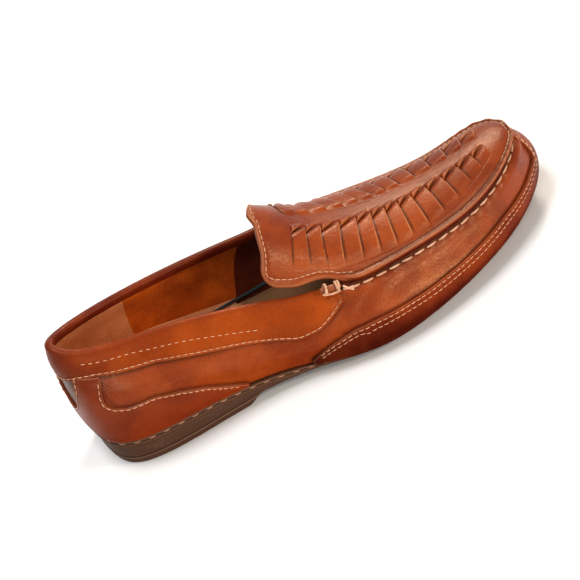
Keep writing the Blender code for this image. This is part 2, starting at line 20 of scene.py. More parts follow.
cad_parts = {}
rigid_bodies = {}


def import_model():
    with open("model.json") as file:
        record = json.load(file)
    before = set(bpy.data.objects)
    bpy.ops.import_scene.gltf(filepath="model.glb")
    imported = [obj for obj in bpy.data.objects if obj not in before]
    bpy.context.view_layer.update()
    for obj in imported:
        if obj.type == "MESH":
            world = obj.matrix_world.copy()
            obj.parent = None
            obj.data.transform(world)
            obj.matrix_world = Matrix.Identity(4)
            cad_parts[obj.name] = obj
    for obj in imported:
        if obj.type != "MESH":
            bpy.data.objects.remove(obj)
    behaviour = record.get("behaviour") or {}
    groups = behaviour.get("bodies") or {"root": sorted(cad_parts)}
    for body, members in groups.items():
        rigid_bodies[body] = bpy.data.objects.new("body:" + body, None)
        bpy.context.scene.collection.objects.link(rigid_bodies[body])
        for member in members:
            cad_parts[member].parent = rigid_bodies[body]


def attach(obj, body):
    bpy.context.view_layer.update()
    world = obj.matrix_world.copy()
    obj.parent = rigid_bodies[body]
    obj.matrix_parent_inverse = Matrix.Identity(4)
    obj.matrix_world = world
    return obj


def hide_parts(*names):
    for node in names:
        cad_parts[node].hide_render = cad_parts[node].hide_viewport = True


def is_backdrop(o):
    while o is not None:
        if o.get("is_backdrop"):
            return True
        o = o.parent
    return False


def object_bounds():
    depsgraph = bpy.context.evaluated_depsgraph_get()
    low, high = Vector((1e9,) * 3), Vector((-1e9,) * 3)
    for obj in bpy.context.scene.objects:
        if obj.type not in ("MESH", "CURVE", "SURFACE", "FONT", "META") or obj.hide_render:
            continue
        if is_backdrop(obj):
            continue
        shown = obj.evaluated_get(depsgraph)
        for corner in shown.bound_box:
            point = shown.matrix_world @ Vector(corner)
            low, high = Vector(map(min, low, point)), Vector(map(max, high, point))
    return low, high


LOG = logging.getLogger("driving_shoe")
Array = np.ndarray
Table = Sequence[tuple[float, float]]
Colour = tuple[float, float, float]

MM = 0.001
HEEL_BACK = np.array([-149.01, 2.37, 0.0])  # place of the shoe's own origin in the frame
BODY = "root"
UP = np.array([0.0, 0.0, 1.0])

# Thicknesses and gaps of the leathers, as in the solids
WALL = 1.8
OVERLAY = 1.1
OVERLAY_GAP = 0.75
BACK_GAP = 0.03
APRON = 2.0
APRON_GAP = 0.6
APRON_TOP = APRON_GAP + APRON
APRON_LIFT = 0.7
APRON_INSET = 0.5
MARGIN = 8.0
FOOT_GAP = 0.5
INSOLE = 2.5

STATION_COUNT = 16
TOE = STATION_COUNT // 2
TAB = 4


# Stations of the wall, from the heel back over the inner side and the toe: widest point (x, y,
# height), how far in and how high its foot lies, top edge (x, y, height) and the top's lean
WALL_STATIONS = (
    (0, 0, 45.5, 3, 23, 2, 0, 84, 4),  # heel back
    (5, 23.5, 42.5, 3, 23, 11.5, 12.5, 79.5, 8),
    (48, 33, 39, 3, 22, 49, 23.5, 72, 12),  # inner side of the heel
    (110, 33, 33, 4, 14, 113, 30.5, 60, 18),
    (165, 41, 26, 5, 6, 156, 35.5, 47.5, 28),  # inner tab
    (216, 47, 19, 6, 5.3, 199, 31.5, 41.2, 28),
    (250, 45, 18.5, 6, 7, 243.5, 26.8, 38, 28),
    (287, 31, 19.5, 6, 10.3, 279.5, 23.2, 42.6, 42),
    (298, 4.5, 23.5, 6, 13.2, 286, 4.2, 44.6, 50),  # toe tip
    (276.5, -21, 19.5, 6, 10.5, 270.5, -16.2, 43, 42),
    (239.5, -40, 18.5, 6, 8.5, 240, -30.5, 39.2, 28),
    (193, -50.5, 19, 6, 5.2, 196.5, -39, 42, 28),
    (152, -50, 26, 5, 5.2, 152, -39, 46, 28),  # outer tab
    (107.5, -38, 33, 4, 12.5, 112, -30.5, 57.5, 18),
    (48, -34, 39, 3, 20, 50, -18.5, 72.5, 12),  # outer side of the heel
    (8.5, -24, 42.5, 3, 21, 12.5, -10.5, 79.5, 8),
)
WIDEST, FOOT_IN, FOOT_Z = slice(0, 3), slice(3, 4), slice(4, 5)
TOP, LEAN = slice(5, 8), slice(8, 9)

# Height of the apron's centre line: shares run from the tabs (0) to the toe seam (1), and
# the tongue behind the tabs has negative shares
RIDGE = ((-0.30, 88.5), (-0.15, 79.0), (0.0, 67.5), (0.25, 53.5), (0.5, 49.5), (0.75, 48.5),
         (0.9, 46.8), (1.0, 44.6))
TONGUE_SHARE = -0.30
TOE_SHARE = 0.94
TONGUE_INNER = (133.0, 16.0, 80.5)
TONGUE_OUTER = (112.5, -28.5, 65.5)
TONGUE_CORNER = 6.0
APRON_LENGTH = 118.0  # from the tabs to the toe seam
CROWN_POWER = 2.3

# Weave: number of a slit between two strips, shares where it meets the spine and the soft
# ends, and how far out the soft ends lie
STRIPS = 13
SLITS = ((0, -0.10, -0.165, 0.80), (4, 0.155, 0.098, 0.83), (8, 0.34, 0.33, 0.83),
         (13, 0.68, 0.70, 0.55))
SPINE_HALF = 0.2
SPINE_INNER = -0.13
SPINE_OUTER_BACK = 0.29
SPINE_OUTER_FRONT = 0.14
DIAGONAL = 0.25
BED_DEPTH = 1.3
STRIP_DEPTH = 1.45

# Edges of the overlays: stations from the heel back, and level on the wall
BAND_LOW = ((0, 1.38), (0.77, 1.56), (1.16, 1.61), (1.92, 1.55), (2.33, 1.41), (2.74, 1.29),
            (3.24, 1.06), (3.49, 1.16), (3.67, 1.39), (3.81, 1.60), (3.90, 1.74))
BAND_ROW = ((1.0, 1.82), (1.7, 1.80), (2.2, 1.72), (2.53, 1.62), (2.85, 1.52))
BAND_TOP = 1.955
COUNTER_TOP = ((0, 0.80), (0.2, 0.92), (0.4, 1.12), (0.54, 1.34), (0.62, 1.6), (1.15, 1.63),
               (1.18, 1.32), (1.22, 1.22), (1.3, 1.16), (1.42, 1.13), (1.75, 1.14), (2.03, 1.04),
               (2.25, 0.86), (2.52, 0.50), (2.6, 0.34))
WRAP_TOP = ((3.28, 0.40), (3.37, 0.61), (3.54, 0.78), (3.82, 0.96), (4.13, 1.08), (4.70, 1.19),
            (5.31, 1.25), (5.95, 1.29), (6.4, 1.33), (7, 1.28))
WRAP_TOE = 1.93
WRAP_RISE_OUTER = (7.58, 7.84)
WRAP_RISE_INNER = (6.86, 7.1)
OVERLAY_FOOT = 0.12
SEAM_LEVEL = 1.99
TAPE_MIDDLE = ((2.5, 0.34), (2.73, 0.415), (2.93, 0.48), (3.3, 0.53), (3.6, 0.56))

# Thick stitches of the moccasin seam, and the crowded rows at the edges of an overlay
SEAM_PITCH = 8.2
SEAM_DROP = 0.8
SEAM_START = 128.0
EDGE_STEPS = np.array((0.0, 0.07, 0.2, 0.4, 0.65, 0.95, 1.35))


def natural_spline(knots: Sequence[float], values: Sequence[float]) -> Callable[[Array], Array]:
    """Natural cubic spline through the values at the knots.

    Args:
        knots: Rising places of the values.
        values: Values at the knots.

    Returns:
        Function that reads the spline; outside the knots it keeps the end values.
    """
    places = np.asarray(knots, float)
    heights = np.asarray(values, float)
    spans = np.diff(places)
    matrix = np.eye(len(places))
    right = np.zeros_like(heights)
    for i in range(1, len(places) - 1):
        matrix[i, i - 1:i + 2] = spans[i - 1], 2 * (spans[i - 1] + spans[i]), spans[i]
        after = (heights[i + 1] - heights[i]) / spans[i]
        before = (heights[i] - heights[i - 1]) / spans[i - 1]
        right[i] = 6 * (after - before)
    bend = np.linalg.solve(matrix, right)

    def value(at: Array) -> Array:
        """Read the spline.

        Args:
            at: Places.

        Returns:
            Values there.
        """
        at = np.clip(np.asarray(at, float), places[0], places[-1])
        i = np.clip(np.searchsorted(places, at, side="right") - 1, 0, len(spans) - 1)
        b = (at - places[i]) / spans[i]
        a = 1 - b
        cubic = (a ** 3 - a) * bend[i] + (b ** 3 - b) * bend[i + 1]
        return a * heights[i] + b * heights[i + 1] + cubic * spans[i] ** 2 / 6

    return value


ridge_height = natural_spline(*zip(*RIDGE))
slit_at_spine, slit_at_edge, slit_reach = (
    natural_spline([slit[0] for slit in SLITS], [slit[column] for slit in SLITS])
    for column in (1, 2, 3))


def read_table(rows: Table, at: Array) -> Array:
    """Straight-line reading of a two-column table."""
    return np.interp(at, *np.array(rows, float).T)


def read_edge(edge: Table, along: Array, soft: float = 0.06) -> Array:
    """Level of an overlay's edge at distances from the heel back, with soft corners."""
    offsets = soft * np.array([-1.0, -0.6, -0.25, 0.0, 0.25, 0.6, 1.0])
    return np.mean([read_table(edge, along + offset) for offset in offsets], axis=0)


def smooth_step(value: Array, start: float, end: float) -> Array:
    """Soft rise from 0 at start to 1 at end."""
    part = np.clip((np.asarray(value, float) - start) / (end - start), 0, 1)
    return part * part * (3 - 2 * part)


def bell(distance: Array, width: float) -> Array:
    """Bell curve of height 1 and the given half width."""
    return np.exp(-(np.asarray(distance, float) / width) ** 2)


def round_over(distance: Array, radius: float) -> Array:
    """Quarter-round edge: 0 on the edge and 1 from the radius inwards."""
    return np.sqrt(np.clip(1 - (1 - np.clip(distance / radius, 0, 1)) ** 2, 0, 1))


def bezier(a: Array, b: Array, c: Array, d: Array, t: Array) -> Array:
    """Cubic between a and d with handles b and c."""
    t = t[..., None]
    return (1 - t) ** 3 * a + 3 * (1 - t) ** 2 * t * b + 3 * (1 - t) * t ** 2 * c + t ** 3 * d


def unit(vectors: Array) -> Array:
    """Vectors at length 1."""
    return vectors / np.maximum(np.linalg.norm(vectors, axis=-1, keepdims=True), 1e-9)


def walk(points: Array) -> Array:
    """Length walked along a line up to each of its points."""
    return np.concatenate([[0], np.cumsum(np.linalg.norm(np.diff(points, axis=0), axis=1))])


def crowd_ends(first: float, final: float, count: int) -> Array:
    """Places from first to final, even in the middle and crowded at both ends.

    Args:
        first: First place.
        final: Last place.
        count: Number of even places, with both ends.

    Returns:
        The places in rising order.
    """
    reach = EDGE_STEPS[-1]
    middle = np.linspace(first + reach, final - reach, count)[1:-1]
    return np.concatenate([first + EDGE_STEPS, middle, final - EDGE_STEPS[::-1]])


@dataclass
class Last:
    """Form of the shoe: the wall all round, the apron on top and the line under the foot."""

    stations: Sequence[Sequence[float]] = WALL_STATIONS
    rows: Array = field(init=False)
    spans: Array = field(init=False)
    bend: Array = field(init=False)
    walked: Array = field(init=False)
    foot_sides: tuple[Array, Array] = field(init=False)

    def __post_init__(self) -> None:
        """Fit the closed spline through the stations and measure the girth."""
        self.rows = np.array(self.stations, float)
        count = len(self.rows)
        steps = np.roll(self.rows[:, :2], -1, axis=0) - self.rows[:, :2]
        self.spans = np.linalg.norm(steps, axis=1) ** 0.75
        matrix = np.zeros((count, count))
        right = np.zeros_like(self.rows)
        for i in range(count):
            before = self.spans[i - 1]
            after = self.spans[i]
            following = (i + 1) % count
            matrix[i, i - 1] += before
            matrix[i, i] += 2 * (before + after)
            matrix[i, following] += after
            rise = (self.rows[following] - self.rows[i]) / after
            right[i] = 6 * (rise - (self.rows[i] - self.rows[i - 1]) / before)
        self.bend = np.linalg.solve(matrix, right)
        fine = self.at(np.arange(0, count + 1e-9, 1 / 64))[:, :2]
        self.walked = walk(fine)
        self.foot_sides = (self.foot_line(np.linspace(0, TOE, 161)),
                           self.foot_line(np.linspace(STATION_COUNT, TOE, 161)))

    def at(self, q: Array) -> Array:
        """Station values at q, which counts stations from the heel back.

        Args:
            q: Stations.

        Returns:
            A row of values for each station.
        """
        q = np.asarray(q, float) % len(self.rows)
        i = np.floor(q).astype(int) % len(self.rows)
        j = (i + 1) % len(self.rows)
        b = (q - np.floor(q))[..., None]
        a = 1 - b
        cubic = (a ** 3 - a) * self.bend[i] + (b ** 3 - b) * self.bend[j]
        return a * self.rows[i] + b * self.rows[j] + cubic * self.spans[i][..., None] ** 2 / 6

    def outward(self, q: Array) -> Array:
        """Level unit vector pointing out of the shoe.

        Args:
            q: Stations.

        Returns:
            The vectors.
        """
        near = 0.002
        run = self.at(np.asarray(q) + near)[..., :2] - self.at(np.asarray(q) - near)[..., :2]
        run = unit(run)
        return np.stack([-run[..., 1], run[..., 0], 0 * run[..., 0]], -1)

    def girth(self, q: Array) -> Array:
        """Length walked round the widest line from the heel back to q, in millimetres.

        Args:
            q: Stations.

        Returns:
            Lengths, in millimetres.
        """
        q = np.asarray(q, float)
        turns = np.floor(q / STATION_COUNT)
        part = q - turns * STATION_COUNT
        places = np.arange(len(self.walked)) / 64
        return np.interp(part, places, self.walked) + turns * self.walked[-1]

    def station(self, length: Array) -> Array:
        """Stations at a walked length, the reverse of girth.

        Args:
            length: Lengths, in millimetres.

        Returns:
            The stations.
        """
        length = np.asarray(length, float)
        turns = np.floor(length / self.walked[-1])
        part = length - turns * self.walked[-1]
        places = np.arange(len(self.walked)) / 64
        return np.interp(part, self.walked, places) + turns * STATION_COUNT

    def foot_line(self, q: Array) -> Array:
        """Line where the wall meets the sole along one side, in order of rising x.

        Args:
            q: Stations.

        Returns:
            Its x, y and height as three rows.
        """
        row = self.at(q)
        line = row[:, WIDEST] - self.outward(q) * row[:, FOOT_IN]
        line[:, 2:] = row[:, FOOT_Z]
        line[:, 0] = np.maximum.accumulate(line[:, 0])
        return line.T

    def foot_height(self, x: Array, y: Array) -> Array:
        """Height of the underside of the upper, straight across from side to side.

        Args:
            x: Distances from the heel.
            y: Distances towards the inner side.

        Returns:
            Height at each place.
        """
        inner, outer = self.foot_sides
        inner_y = np.interp(x, inner[0], inner[1])
        outer_y = np.interp(x, outer[0], outer[1])
        weight = np.clip((y - outer_y) / np.maximum(inner_y - outer_y, 0.1), 0, 1)
        low = np.interp(x, outer[0], outer[2])
        return low * (1 - weight) + np.interp(x, inner[0], inner[2]) * weight

    def wall(self, q: Array, level: Array) -> Array:
        """Outer face of the wall: level -1 to 0 lies under the foot, 0 to 1 to 2 goes up it.

        Args:
            q: Stations.
            level: Levels on the wall.

        Returns:
            Its points.
        """
        q, level = np.broadcast_arrays(np.asarray(q, float), np.asarray(level, float))
        row = self.at(q)
        out = self.outward(q)
        widest, top, inset = row[..., WIDEST], row[..., TOP], row[..., FOOT_IN]
        foot = widest - out * inset
        foot[..., 2:] = row[..., FOOT_Z]
        low_rise = UP * (widest[..., 2:] - foot[..., 2:])
        margin = foot - out * MARGIN
        margin[..., 2] = self.foot_height(margin[..., 0], margin[..., 1])
        below = foot + (foot - margin) * np.clip(level, -1, 0)[..., None]
        low = bezier(foot, foot + 0.55 * out * inset, widest - 0.55 * low_rise, widest,
                     np.clip(level, 0, 1))
        inward = (top - widest) * (1 - UP)
        reach = np.linalg.norm(inward, axis=-1, keepdims=True)
        inward = inward / np.maximum(reach, 1e-6)
        rise = top[..., 2:] - widest[..., 2:]
        lean = np.radians(row[..., LEAN])
        handle = 0.35 * np.hypot(rise, reach) * (inward * np.sin(lean) + UP * np.cos(lean))
        high = bezier(widest, widest + 0.4 * rise * UP, top - handle, top,
                      np.clip(level - 1, 0, 1))
        under = (level <= 0)[..., None]
        return np.where(under, below, np.where((level <= 1)[..., None], low, high))

    def wall_out(self, q: Array, level: Array) -> Array:
        """Unit normal of the wall, pointing out.

        Args:
            q: Stations.
            level: Levels on the wall.

        Returns:
            The normals.
        """
        near = 0.01
        level = np.clip(level, 0.02, 1.98)
        along = self.wall(np.asarray(q) + near, level) - self.wall(np.asarray(q) - near, level)
        up = self.wall(q, level + near) - self.wall(q, level - near)
        return unit(np.cross(up, along))

    def face(self, q: Array, level: Array) -> tuple[Array, Array]:
        """Points of the wall and their normals."""
        return self.wall(q, level), self.wall_out(q, level)

    def apron_base(self, share: Array, across: Array) -> Array:
        """Top of the forefoot between the seams; across runs from -1 (inner) to 1 (outer).

        Args:
            share: Shares along the apron.
            across: Places across, from -1 to 1.

        Returns:
            Its points.
        """
        share, across = np.broadcast_arrays(np.asarray(share, float), np.asarray(across, float))
        on_foot = np.clip(share, 0, 1)
        inner = self.at(TAB + TAB * on_foot)[..., TOP]
        outer = self.at(STATION_COUNT - TAB - TAB * on_foot)[..., TOP]
        behind = np.clip(share / TONGUE_SHARE, 0, 1.05)[..., None]
        inner = inner * (1 - behind) + np.array(TONGUE_INNER) * behind
        outer = outer * (1 - behind) + np.array(TONGUE_OUTER) * behind
        weight = ((across + 1) / 2)[..., None]
        point = inner * (1 - weight) + outer * weight
        middle = (inner[..., 2] + outer[..., 2]) / 2
        crown = (ridge_height(share) - middle) * (1 - np.abs(across) ** CROWN_POWER)
        lift = APRON_LIFT * (1 - np.abs(across) ** 10)
        return point + UP * (crown + lift)[..., None]

    def apron_up(self, share: Array, across: Array) -> Array:
        """Unit normal of the apron, pointing up.

        Args:
            share: Shares along the apron.
            across: Places across, from -1 to 1.

        Returns:
            The normals.
        """
        near = 0.01
        share = np.asarray(share, float)
        across = np.asarray(across, float)
        along = self.apron_base(share + near, across) - self.apron_base(share - near, across)
        over = self.apron_base(share, across + near) - self.apron_base(share, across - near)
        normal = np.cross(over, along)
        return unit(normal * np.sign(normal[..., 2:3]))

    def apron(self, share: Array, across: Array) -> tuple[Array, Array]:
        """Points of the forefoot's top and their normals."""
        return self.apron_base(share, across), self.apron_up(share, across)

    def half_width(self, share: Array) -> Array:
        """Half the distance between the seams."""
        ends = self.apron_base(share, 1.0) - self.apron_base(share, -1.0)
        return np.linalg.norm(ends, axis=-1) / 2


class Side(Enum):
    """Sides of the shoe, with the sign of their stations from the heel back."""

    INNER = 1
    OUTER = -1


@dataclass
class Skin:
    """Points, faces and painted values of one piece while it is put together."""

    points: list[Array] = field(default_factory=list)
    faces: list[Array] = field(default_factory=list)
    slots: list[Array] = field(default_factory=list)
    paint: dict[str, list[Array]] = field(default_factory=dict)
    count: int = 0

    def add(self, points: Array, **paint: Array | float) -> Array:
        """Add points.

        Args:
            points: Any layout of points, in millimetres.
            paint: Values to keep for each point, such as the dye with its painted shade.

        Returns:
            The points' indices in the same layout.
        """
        points = np.asarray(points, float)
        flat = points.reshape(-1, 3)
        index = np.arange(self.count, self.count + len(flat)).reshape(points.shape[:-1])
        self.points.append(flat)
        for name in {*self.paint, *paint}:
            if name not in self.paint:
                self.paint[name] = [np.zeros(self.count)]
            value = np.broadcast_to(paint.get(name, 0.0), points.shape[:-1])
            self.paint[name].append(value.reshape(-1))
        self.count += len(flat)
        return index

    def sheet(self, grid: Array, slot: Array | int = 0) -> None:
        """Quads over a grid of indices, with a material slot for each quad or for all.

        Args:
            grid: Indices of the points.
            slot: Material slots.
        """
        quads = np.stack([grid[:-1, :-1], grid[:-1, 1:], grid[1:, 1:], grid[1:, :-1]], -1)
        self.faces.append(quads.reshape(-1, 4))
        self.slots.append(np.broadcast_to(slot, quads.shape[:2]).reshape(-1))

    def shell(self, outer: Array, inner: Array, closed: bool, outer_slot: Array | int = 0,
              inner_slot: Array | int = 0) -> None:
        """Two like grids joined at their open edges into one closed wall.

        Args:
            outer: Indices of the outer face.
            inner: Indices of the inner face.
            closed: Whether the first axis runs round in a ring.
            outer_slot: Material slot of the outer face.
            inner_slot: Material slot of the inner face.
        """
        if closed:
            outer = np.concatenate([outer, outer[:1]])
            inner = np.concatenate([inner, inner[:1]])
        self.sheet(outer, outer_slot)
        self.sheet(inner[::-1], inner_slot if np.isscalar(inner_slot) else inner_slot[::-1])
        self.sheet(np.stack([inner[:, 0], outer[:, 0]], -1))
        self.sheet(np.stack([outer[:, -1], inner[:, -1]], -1))
        if not closed:
            self.sheet(np.stack([outer[0], inner[0]], -1))
            self.sheet(np.stack([inner[-1], outer[-1]], -1))

    def tube(self, path: Array, across: Array, over: Array, radii: Array, sides: int,
             closed: bool = False, **paint: float) -> None:
        """Round tube along a path, its ends filled unless it is a loop.

        Args:
            path: Middle line.
            across: Directions of the first axis of its sections.
            over: Directions of the second axis.
            radii: Radius at each point.
            sides: Number of faces round it.
            closed: Whether the path is a loop.
            paint: Values to keep for its points.
        """
        turn = np.linspace(0, 2 * np.pi, sides + 1)[:-1, None]
        section = np.cos(turn) * across[:, None] + np.sin(turn) * over[:, None]
        index = self.add(path[:, None] + radii[:, None, None] * section, **paint)
        index = np.concatenate([index, index[:, :1]], axis=1)
        self.sheet(np.concatenate([index, index[:1]]) if closed else index)
        for end in () if closed else (0, -1):
            tip = self.add(path[end][None], **paint)
            self.sheet(np.stack([index[end], np.full(sides + 1, tip[0])]))

    def object(self, name: str, *materials: bpy.types.Material) -> bpy.types.Object:
        """Make the piece: merged at its seams, faces out, shaded smooth.

        Args:
            name: Name of the piece.
            materials: Materials in the order of their slots.

        Returns:
            The new object, at the origin.
        """
        mesh = bpy.data.meshes.new(name)
        points = (np.concatenate(self.points) + HEEL_BACK) * MM
        faces = np.concatenate(self.faces)
        corners = faces != np.roll(faces, -1, axis=1)
        sides = corners.sum(axis=1)
        mesh.vertices.add(len(points))
        mesh.vertices.foreach_set("co", points.ravel())
        mesh.loops.add(int(sides.sum()))
        mesh.loops.foreach_set("vertex_index", faces[corners])
        mesh.polygons.add(len(faces))
        mesh.polygons.foreach_set("loop_start", np.cumsum(sides) - sides)
        mesh.polygons.foreach_set("material_index", np.concatenate(self.slots))
        for layer, values in self.paint.items():
            attribute = mesh.attributes.new(layer, "FLOAT", "POINT")
            attribute.data.foreach_set("value", np.concatenate(values).astype(np.float32))
        mesh.update(calc_edges=True)
        work = bmesh.new()
        work.from_mesh(mesh)
        bmesh.ops.remove_doubles(work, verts=work.verts, dist=2e-6)
        return finish_mesh(name, work, mesh, materials)


def add_object(name: str, data: bpy.types.ID) -> bpy.types.Object:
    """Object that holds the data, linked to the scene.

    Args:
        name: Name of the object.
        data: Mesh, light or camera that it holds.

    Returns:
        The object, at the origin.
    """
    piece = bpy.data.objects.new(name, data)
    bpy.context.scene.collection.objects.link(piece)
    return piece


def finish_mesh(name: str, work: bmesh.types.BMesh, mesh: bpy.types.Mesh,
                materials: Sequence[bpy.types.Material]) -> bpy.types.Object:
    """Write a mesh with its faces out and shaded smooth.

    Args:
        name: Name of the piece.
        work: Faces of the piece; it is freed.
        mesh: Mesh that takes them.
        materials: Materials in the order of their slots.

    Returns:
        The new object, at the origin.
    """
    bmesh.ops.recalc_face_normals(work, faces=work.faces)
    work.to_mesh(mesh)
    work.free()
    mesh.shade_smooth()
    for material in materials:
        mesh.materials.append(material)
    return add_object(name, mesh)


def settle(piece: bpy.types.Object, slot: str, *nodes: str) -> None:
    """Let a piece ride with the shoe and hide the solids that it stands for.

    Args:
        piece: The finished piece.
        slot: Material slot; not used.
        nodes: Solids that it stands for.
    """
    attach(piece, BODY)
    if nodes:
        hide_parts(*nodes)
    LOG.info("%s: %d triangles", piece.name,
             sum(len(face.vertices) - 2 for face in piece.data.polygons))


@dataclass
class NodeTree:
    """Small helper that adds nodes and links to a node tree."""

    tree: bpy.types.NodeTree

    def node(self, kind: str, settings: dict[str, object] | None = None,
             **inputs: object) -> bpy.types.Node:
        """Add a node.

        Args:
            kind: Type of the node.
            settings: Properties of the node by name.
            inputs: Values for its inputs, as fill takes them.

        Returns:
            The node.
        """
        node = self.tree.nodes.new(kind)
        for name, value in (settings or {}).items():
            setattr(node, name, value)
        self.fill(node, **inputs)
        return node

    def fill(self, node: bpy.types.Node, **inputs: object) -> None:
        """Set or link inputs of a node.

        Args:
            node: The node.
            inputs: Plain values, sockets, or nodes that give their first output. In a name
                underscores stand for spaces, and i0, i1 and so on are numbers of inputs.
        """
        for name, value in inputs.items():
            numbered = name[0] == "i" and name[1:].isdigit()
            socket = node.inputs[int(name[1:]) if numbered else name.replace("_", " ")]
            if isinstance(value, bpy.types.Node):
                value = value.outputs[0]
            if isinstance(value, bpy.types.NodeSocket):
                self.tree.links.new(value, socket)
            else:
                socket.default_value = value

    def maths(self, operation: str, a: object, b: object = 0.0) -> bpy.types.NodeSocket:
        """Result of a Math node."""
        return self.node("ShaderNodeMath", {"operation": operation}, i0=a, i1=b).outputs[0]

    def weigh(self, *terms: tuple[object, object]) -> bpy.types.NodeSocket:
        """Sum of terms, each a value and its weight.

        Args:
            terms: Pairs of a value and its weight.

        Returns:
            Socket of the sum.
        """
        total = 0.0
        for value, weight in terms:
            total = self.node("ShaderNodeMath", {"operation": "MULTIPLY_ADD"}, i0=value,
                              i1=weight, i2=total).outputs[0]
        return total

    def ramp(self, value: bpy.types.NodeSocket, low: float, high: float, to_low: float = 0.0,
             to_high: float = 1.0) -> bpy.types.NodeSocket:
        """Value carried from one range to another, held at the ends."""
        return self.node("ShaderNodeMapRange", {"interpolation_type": "SMOOTHSTEP"}, i0=value,
                         i1=low, i2=high, i3=to_low, i4=to_high).outputs[0]

    def mix(self, factor: object, a: object, b: object) -> bpy.types.NodeSocket:
        """Colour between a and b, which are sockets or plain colours."""
        a, b = ((*tone, 1.0) if isinstance(tone, tuple) else tone for tone in (a, b))
        return self.node("ShaderNodeMix", {"data_type": "RGBA"}, i0=factor, i6=a, i7=b).outputs[2]

    def noise(self, place: object, scale: object, detail: float,
              roughness: float = 0.5) -> bpy.types.Node:
        """Noise texture."""
        return self.node("ShaderNodeTexNoise", Vector=place, Scale=scale, Detail=detail,
                         Roughness=roughness)


class Group(NodeTree):
    """Shader group with named number inputs and outputs, on Object coordinates."""

    def __init__(self, name: str, inputs: dict[str, float], outputs: Sequence[str]) -> None:
        """Start the group.

        Args:
            name: Name of the group.
            inputs: Default of each input.
            outputs: Names of the outputs.
        """
        super().__init__(bpy.data.node_groups.new(name, "ShaderNodeTree"))
        face = self.tree.interface
        for label, value in inputs.items():
            face.new_socket(label, in_out="INPUT",
                            socket_type="NodeSocketFloat").default_value = value
        for label in outputs:
            face.new_socket(label, in_out="OUTPUT", socket_type="NodeSocketFloat")
        self.given = self.node("NodeGroupInput").outputs
        self.place = self.node("ShaderNodeTexCoord").outputs["Object"]
        self.end = self.node("NodeGroupOutput")

    def per_metre(self, size: str) -> bpy.types.NodeSocket:
        """Scale of a texture from an input that gives its size in millimetres."""
        return self.maths("DIVIDE", 1000.0, self.given[size])


@dataclass(frozen=True)
class Effects:
    """Shader groups that several finishes share."""

    grain: bpy.types.NodeTree
    mottle: bpy.types.NodeTree

    @classmethod
    def build(cls) -> Effects:
        """Build each group once."""
        return cls(cls.build_grain(), cls.build_mottle())

    @staticmethod
    def build_grain() -> bpy.types.NodeTree:
        """Leather grain: small pebbles, pores and fine creases, as a height.

        Returns:
            Tree of the group.
        """
        group = Group("leather_grain", {"Pebble Size": 0.9, "Pebble": 0.5, "Crease": 0.5},
                      ["Height"])
        shaken = group.node("ShaderNodeVectorMath", {"operation": "MULTIPLY_ADD"},
                            i0=group.noise(group.place, 260.0, 2.0).outputs["Color"],
                            i1=(0.0016, 0.0016, 0.0016), i2=group.place)
        cells = group.node("ShaderNodeTexVoronoi", {"feature": "F1"}, Vector=shaken,
                           Scale=group.per_metre("Pebble Size"), Randomness=1.0)
        pebbles = group.ramp(cells.outputs["Distance"], 0.1, 0.75, 1.0, 0.0)
        stretched = group.node("ShaderNodeVectorMath", {"operation": "MULTIPLY"}, i0=shaken,
                               i1=(1.0, 2.2, 1.6))
        lines = group.maths("SUBTRACT", group.noise(stretched, 95.0, 4.0, 0.55), 0.5)
        creases = group.ramp(group.maths("ABSOLUTE", lines), 0.0, 0.045, -1.0, 0.0)
        pores = group.noise(group.place, 1700.0, 3.0)
        group.fill(group.end, Height=group.weigh((pebbles, group.given["Pebble"]),
                                                 (creases, group.given["Crease"]), (pores, 0.35)))
        return group.tree

    @staticmethod
    def build_mottle() -> bpy.types.NodeTree:
        """Uneven dye of polished leather: broad clouds, fine flecks and rubbed spots.

        Returns:
            Tree of the group.
        """
        group = Group("leather_mottle", {"Cloud Size": 22.0, "Fleck Size": 1.4},
                      ["Cloud", "Fleck", "Rub"])
        cloud = group.noise(group.place, group.per_metre("Cloud Size"), 3.0).outputs[0]
        fleck = group.noise(group.place, group.per_metre("Fleck Size"), 2.0).outputs[0]
        rub = group.noise(group.place, 70.0, 5.0, 0.7).outputs[0]
        group.fill(group.end, Cloud=group.ramp(cloud, 0.32, 0.68),
                   Fleck=group.ramp(fleck, 0.3, 0.72), Rub=group.ramp(rub, 0.56, 0.78))
        return group.tree


class Paint(Enum):
    """Values painted on the points of the pieces."""

    TINT = "tint"  # burgundy dye, and painted shade on the apron's ridge wall and low on the wrap
    EDGE = "edge"  # lighter worn or cut edge, and painted highlights on the apron's crest, the strips' edges and the teeth
    SOOT = "soot"  # painted shade in seams, grooves, gaps and beside raised edges; darker leather at cut edges and in the heel's back window
